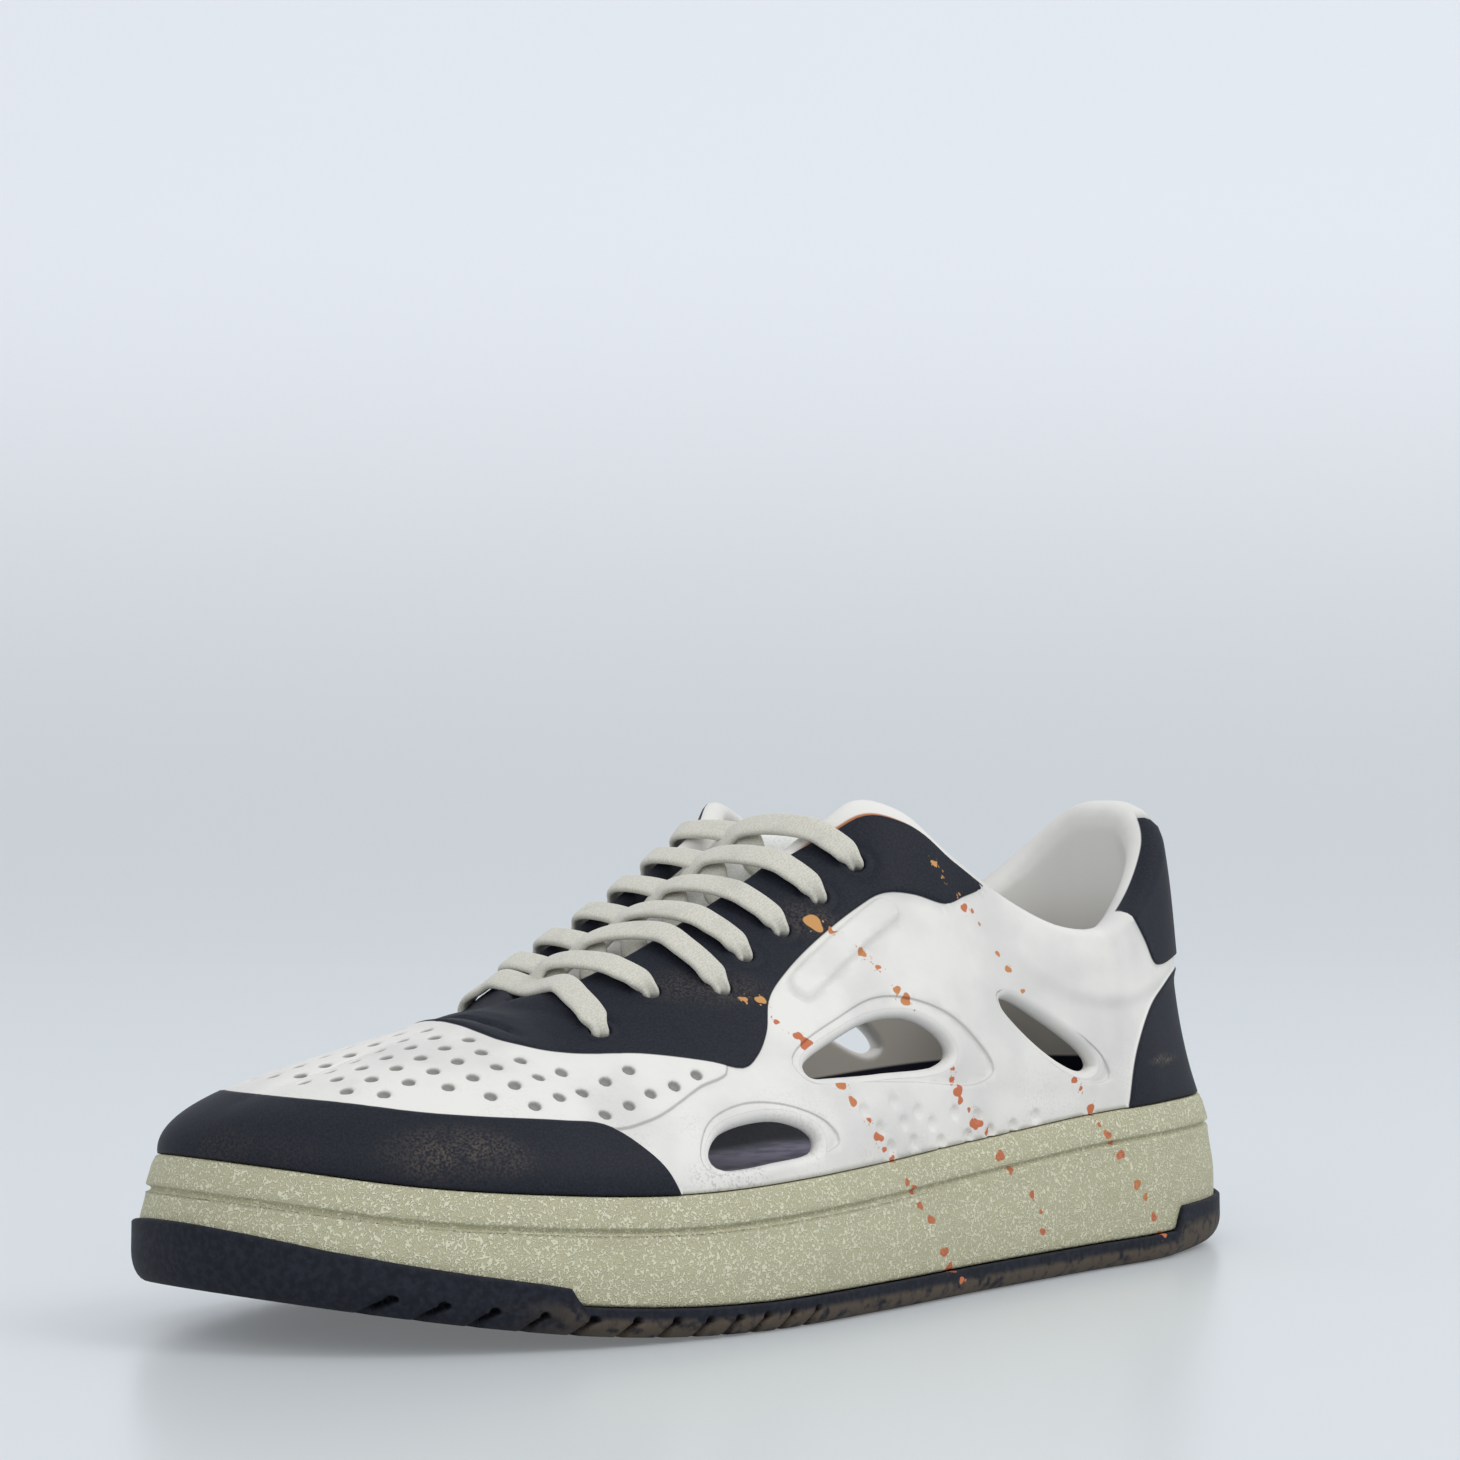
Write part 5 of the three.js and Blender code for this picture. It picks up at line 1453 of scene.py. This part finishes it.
class Paint:
    """A material whose nodes are wired by short calls; lengths are in millimetres."""

    def __init__(self, name, roughness, specular=0.4, sheen=0.0):
        self.material = bpy.data.materials.new(name)
        self.material.use_nodes = True
        self.tree = self.material.node_tree
        self.shader = self.tree.nodes["Principled BSDF"]
        self.shader.inputs["Roughness"].default_value = roughness
        self.shader.inputs["Specular IOR Level"].default_value = specular
        self.shader.inputs["Sheen Weight"].default_value = sheen
        self.place = self.tree.nodes.new("ShaderNodeTexCoord").outputs["Object"]
        self.bent = None

    def feed(self, socket, value):
        if isinstance(value, bpy.types.NodeSocket):
            self.tree.links.new(value, socket)
        else:
            socket.default_value = value

    def node(self, kind, output, inputs, **settings):
        node = self.tree.nodes.new(kind)
        for key, value in settings.items():
            setattr(node, key, value)
        for key, value in inputs.items():
            self.feed(node.inputs[key], value)
        return node.outputs[output]

    def attribute(self, name):
        return self.node("ShaderNodeAttribute", "Fac", {}, attribute_name=name)

    def axis(self, name):
        return self.node("ShaderNodeSeparateXYZ", name, {0: self.place})

    def noise(self, size, detail=2.0, stretch=(1, 1, 1), shift=0.0, distortion=0.0):
        moved = self.node(
            "ShaderNodeMapping", 0, {0: self.place, 1: (shift, shift, 0), 3: stretch}
        )
        inputs = {"Vector": moved, "Scale": 1 / (size * MM), "Detail": detail,
                  "Distortion": distortion}
        return self.node("ShaderNodeTexNoise", 0, inputs)

    def step(self, value, start, end, low=0.0, high=1.0):
        inputs = {0: value, 1: start, 2: end, 3: low, 4: high}
        return self.node("ShaderNodeMapRange", 0, inputs, interpolation_type="SMOOTHSTEP")

    def math(self, operation, a, b=0.0):
        return self.node("ShaderNodeMath", 0, {0: a, 1: b}, operation=operation)

    def product(self, first, *others):
        for other in others:
            first = self.math("MULTIPLY", first, other)
        return first

    def mix(self, share, a, b):
        node = self.tree.nodes.new("ShaderNodeMix")
        node.data_type = "RGBA"
        self.feed(node.inputs[0], share)
        self.feed(node.inputs[6], a)
        self.feed(node.inputs[7], b)
        return node.outputs[2]

    def bump(self, height, depth, strength=1.0):
        inputs = {"Height": height, "Distance": depth * MM, "Strength": strength}
        if self.bent is not None:
            inputs["Normal"] = self.bent
        self.bent = self.node("ShaderNodeBump", 0, inputs)

    def finish(self, tint):
        self.feed(self.shader.inputs["Base Color"], tint)
        if self.bent is not None:
            self.feed(self.shader.inputs["Normal"], self.bent)
        return self.material


WHITE_FOAM = colour(232, 229, 224)
FOAM_GREY = colour(216, 214, 210)
# grey for dirt specks on the foam, and also painted shade in the vamp dimples and along the vamp
# panel's step
GRIME_AND_SHADE = colour(130, 128, 124)
NAVY = colour(20, 23, 33)
NAVY_WORN = colour(34, 37, 47)
BROWN = colour(108, 96, 84)
COPPER = colour(176, 112, 74)
ORANGE = colour(196, 114, 78)
AMBER = colour(202, 152, 92)
INSIDE_LOW_SHADE = colour(198, 192, 182)
LINING = colour(238, 236, 231)
INSOLE_NAVY = colour(24, 26, 38)
CREAM = colour(182, 178, 147)
CREAM_RIDGE_HIGHLIGHT = colour(216, 213, 186)
CREAM_DIRT = colour(160, 150, 124)
TREAD_DIRT = colour(82, 72, 62)
SLOT_SHADE = colour(16, 16, 20)
CLOTH_NAVY = colour(24, 26, 40)
CLOTH_GREY = colour(52, 58, 72)
LILAC_SCRATCH_AND_SHEEN = colour(172, 168, 192)
TONGUE_SHADE = colour(232, 231, 227)
TONGUE_WHITE = colour(246, 246, 243)
LACE_SHADE = colour(196, 193, 181)
LACE_WHITE = colour(214, 211, 199)
LACE_DIRT = colour(168, 165, 156)
FLOOR_NEAR = colour(190, 194, 196)
FLOOR_HIGH = colour(233, 236, 240)
ROOM_WHITE = colour(236, 240, 244)


def drops_over(paint, tint, amber=0.0):
    """Lays the thrown paint over a tint."""
    share = paint.math("MAXIMUM", paint.step(paint.noise(24), 0.5, 0.7, 0.0, 0.6), amber)
    hue = paint.mix(share, ORANGE, AMBER)
    depth = paint.attribute("drop")
    spray = paint.product(paint.step(depth, -1.6, -0.3), paint.step(paint.noise(1.1), 0.64, 0.7))
    spots = paint.math("MAXIMUM", paint.step(depth, -0.12, 0.12), spray)
    return paint.mix(spots, tint, hue)


def upper_paint():
    paint = Paint("moulded foam", roughness=0.6, specular=0.22)
    height = paint.axis("Z")
    foam = paint.mix(paint.step(paint.noise(22, 5), 0.38, 0.72), WHITE_FOAM, FOAM_GREY)
    low = paint.step(paint.attribute("rise"), FOOT_DIRT, 0)
    front = paint.step(paint.axis("X"), 0.0, 0.06, 0.12, 0.4)
    speck = paint.step(paint.noise(0.7, 3), 0.47, 0.66)
    patch = paint.step(paint.noise(14, 4, shift=3.1), 0.38, 0.62)
    foam = paint.mix(paint.product(speck, patch, low, front), foam, GRIME_AND_SHADE)
    # painted shade: a dark line along both sides of the vamp panel's edge, standing for the shadow
    # its step casts
    seam = paint.step(paint.math("ABSOLUTE", paint.attribute("vamp")), 0.35, 0.05, 0.0, 0.5)
    foam = paint.mix(seam, foam, GRIME_AND_SHADE)
    # painted shade: the vamp dimples are greyed inside, for the shade in their hollows
    dot = paint.step(paint.attribute("dot"), DOT_RADIUS, 0.7 * DOT_RADIUS, 0.0, 0.9)
    foam = paint.mix(dot, foam, GRIME_AND_SHADE)

    grain = paint.noise(0.5, 3)
    navy = paint.mix(paint.step(grain, 0.3, 0.75), NAVY, NAVY_WORN)
    fine = paint.step(paint.noise(0.6, 4), 0.4, 0.62)
    coarse = paint.step(paint.noise(7, 4), 0.3, 0.6, 0.35, 1.0)
    navy = paint.mix(paint.product(paint.attribute("scuff"), fine, coarse), navy, BROWN)

    panel = paint.attribute("navy")
    tint = paint.mix(paint.step(panel, -0.12, 0.12), foam, navy)
    turn = paint.attribute("turn")
    # painted shade: the inside of the upper is darker up to 56 mm above the floor, blending to the
    # white lining by 90 mm
    lining = paint.mix(paint.step(height, 0.056, 0.09), INSIDE_LOW_SHADE, LINING)
    # the inside of the upper is painted the footbed's navy low down, within LINING_START of the foot
    # line
    deep = paint.step(paint.attribute("rise"), *LINING_START)
    lining = paint.mix(deep, lining, INSOLE_NAVY)
    tint = paint.mix(paint.step(turn, 0.8, 1.0), tint, lining)
    edge = paint.product(
        paint.step(panel, -0.9, -0.3), paint.step(panel, 0.35, 0.05), paint.attribute("piped")
    )
    amber = paint.step(panel, -1.0, 1.0, 0.0, 0.9)
    tint = drops_over(paint, paint.mix(edge, tint, COPPER), amber)
    paint.bump(paint.step(paint.attribute("ring"), 0.3, -0.2), 0.5, 0.8)
    paint.bump(paint.noise(8, 4), 0.2, 0.4)
    paint.bump(grain, 0.04, 0.5)
    return paint.finish(tint)


def midsole_paint():
    paint = Paint("cream midsole", roughness=0.62)
    worm = paint.noise(0.95, 1.0, distortion=0.6)
    ridge = paint.math("ABSOLUTE", paint.math("SUBTRACT", worm, 0.5))
    # painted highlight: the raised worm-like ridges are painted lighter, as if catching the light,
    # besides their bump
    raised = paint.step(ridge, 0.09, 0.03)
    cream = paint.mix(raised, CREAM, CREAM_RIDGE_HIGHLIGHT)
    dirt = paint.step(paint.noise(24, 5), 0.5, 0.8, 0.0, 0.25)
    cream = paint.mix(dirt, cream, CREAM_DIRT)
    paint.bump(raised, 0.25, 0.9)
    return paint.finish(drops_over(paint, cream))


def outsole_paint():
    paint = Paint("navy rubber", roughness=0.65, specular=0.22)
    base = paint.mix(paint.step(paint.noise(1.5, 4), 0.35, 0.7), NAVY, NAVY_WORN)
    low = paint.step(paint.attribute("climb"), 0.75, 0.5)
    behind_toe = paint.step(paint.axis("X"), 0.115, 0.085)
    dirt = paint.product(low, behind_toe, paint.step(paint.noise(3, 5), 0.3, 0.55))
    base = paint.mix(dirt, base, TREAD_DIRT)
    # painted shade: the slots between the lugs are painted near black, for the shade inside them
    base = paint.mix(paint.step(paint.attribute("slot"), -0.2, 0.4), base, SLOT_SHADE)
    paint.bump(paint.noise(1.2, 4), 0.12, 0.6)
    return paint.finish(drops_over(paint, base))


def insole_paint():
    paint = Paint("navy insole cloth", roughness=0.9, specular=0.15, sheen=0.2)
    weave = paint.noise(0.8, 2)
    cloth = paint.mix(paint.step(weave, 0.35, 0.65), CLOTH_NAVY, CLOTH_GREY)
    # a patch on the insole's outer side: real fine scratches, with a lilac tint that is a painted
    # sheen
    outer = paint.step(paint.axis("Y"), 0.004, 0.016)
    behind = paint.step(paint.axis("X"), -0.012, 0.004)
    before = paint.step(paint.axis("X"), 0.06, 0.04)
    worn = paint.product(outer, behind, before, paint.step(paint.noise(6, 4), 0.3, 0.6, 0.5, 1.0))
    cloth = paint.mix(worn, cloth, LILAC_SCRATCH_AND_SHEEN)
    paint.bump(weave, 0.1, 0.6)
    return paint.finish(cloth)


def tongue_paint():
    paint = Paint("white tongue cloth", roughness=0.85, specular=0.2, sheen=0.2)
    weave = paint.noise(0.6, 1)
    cloth = paint.mix(paint.step(weave, 0.35, 0.65), TONGUE_SHADE, TONGUE_WHITE)
    paint.bump(weave, 0.08, 0.5)
    return paint.finish(cloth)


def lace_paint():
    paint = Paint("lace weave", roughness=0.9, specular=0.15, sheen=0.3)
    weave = paint.noise(0.4, 1)
    across = paint.math("SINE", paint.product(paint.attribute("run"), 9.0))
    weave = paint.math("ADD", weave, paint.product(across, 0.05))
    cloth = paint.mix(paint.step(weave, 0.3, 0.7), LACE_SHADE, LACE_WHITE)
    dirt = paint.step(paint.noise(9, 4), 0.5, 0.8, 0.0, 0.35)
    cloth = paint.mix(dirt, cloth, LACE_DIRT)
    paint.bump(weave, 0.08, 0.5)
    return paint.finish(cloth)


make_upper(upper_paint())
make_midsole(midsole_paint())
make_outsole(outsole_paint())
make_insole(insole_paint())
make_tongue(tongue_paint())
make_laces(lace_paint())


# The place it stands in


def make_stage():
    """Pale paper that runs back from the shoe and curves up behind it, in metres."""
    reach, back, rise, turn = 4.0, 1.2, 3.0, 0.9
    away = np.array([-0.70, -0.72])
    across = np.array([away[1], -away[0]])
    curve = [
        (back + turn * np.sin(a), turn - turn * np.cos(a)) for a in np.linspace(0, np.pi / 2, 24)
    ]
    profile = [(-reach, 0.0), *curve, (back + turn, rise)]
    points, faces = [], []
    for along, z in profile:
        for side in (-reach, reach):
            points.append((*(away * along + across * side), z))
    for k in range(len(profile) - 1):
        faces.append((2 * k, 2 * k + 1, 2 * k + 3, 2 * k + 2))
    mesh = bpy.data.meshes.new("floor")
    mesh.from_pydata(points, [], faces)
    mesh.polygons.foreach_set("use_smooth", [True] * len(faces))
    floor = bpy.data.objects.new("floor", mesh)
    bpy.context.scene.collection.objects.link(floor)
    paint = Paint("pale paper", roughness=0.3)
    # painted light: the same paper is darker on the floor and lighter up the backdrop, for how light
    # falls on each
    tint = paint.mix(paint.step(paint.axis("Z"), 0.0, 0.5), FLOOR_NEAR, FLOOR_HIGH)
    # painted light: the paper glows faintly, brightening the floor and backdrop and lifting the
    # shadows on them
    paint.shader.inputs["Emission Color"].default_value = ROOM_WHITE
    paint.shader.inputs["Emission Strength"].default_value = 0.17
    mesh.materials.append(paint.finish(tint))


def make_light(name, place, size, power):
    data = bpy.data.lights.new(name, "AREA")
    data.shape = "DISK"
    data.size = size
    data.energy = power
    light = bpy.data.objects.new(name, data)
    light.location = place
    light.rotation_euler = (Vector(LIT_PLACE) - Vector(place)).to_track_quat("-Z", "Y").to_euler()
    bpy.context.scene.collection.objects.link(light)


def make_camera():
    data = bpy.data.cameras.new("photo camera")
    data.sensor_width = SENSOR_WIDTH
    data.lens = CAMERA_LENS
    camera = bpy.data.objects.new("photo camera", data)
    yaw, pitch = CAMERA_YAW, CAMERA_PITCH
    look = Vector((np.cos(yaw) * np.cos(pitch), np.sin(yaw) * np.cos(pitch), np.sin(pitch)))
    turned = look.to_track_quat("-Z", "Y").to_matrix().to_4x4()
    camera.matrix_world = Matrix.Translation(CAMERA_PLACE) @ turned
    bpy.context.scene.collection.objects.link(camera)
    bpy.context.scene.camera = camera


def make_room():
    world = bpy.data.worlds.new("pale room")
    world.use_nodes = True
    background = world.node_tree.nodes["Background"]
    background.inputs["Color"].default_value = ROOM_WHITE
    background.inputs["Strength"].default_value = 0.8
    bpy.context.scene.world = world


make_stage()
make_light("key", (-0.55, 1.35, 1.5), 1.1, 12)
make_light("fill", (1.6, 0.9, 1.2), 1.6, 8)
make_camera()
make_room()
bpy.context.scene.view_settings.view_transform = "Standard"
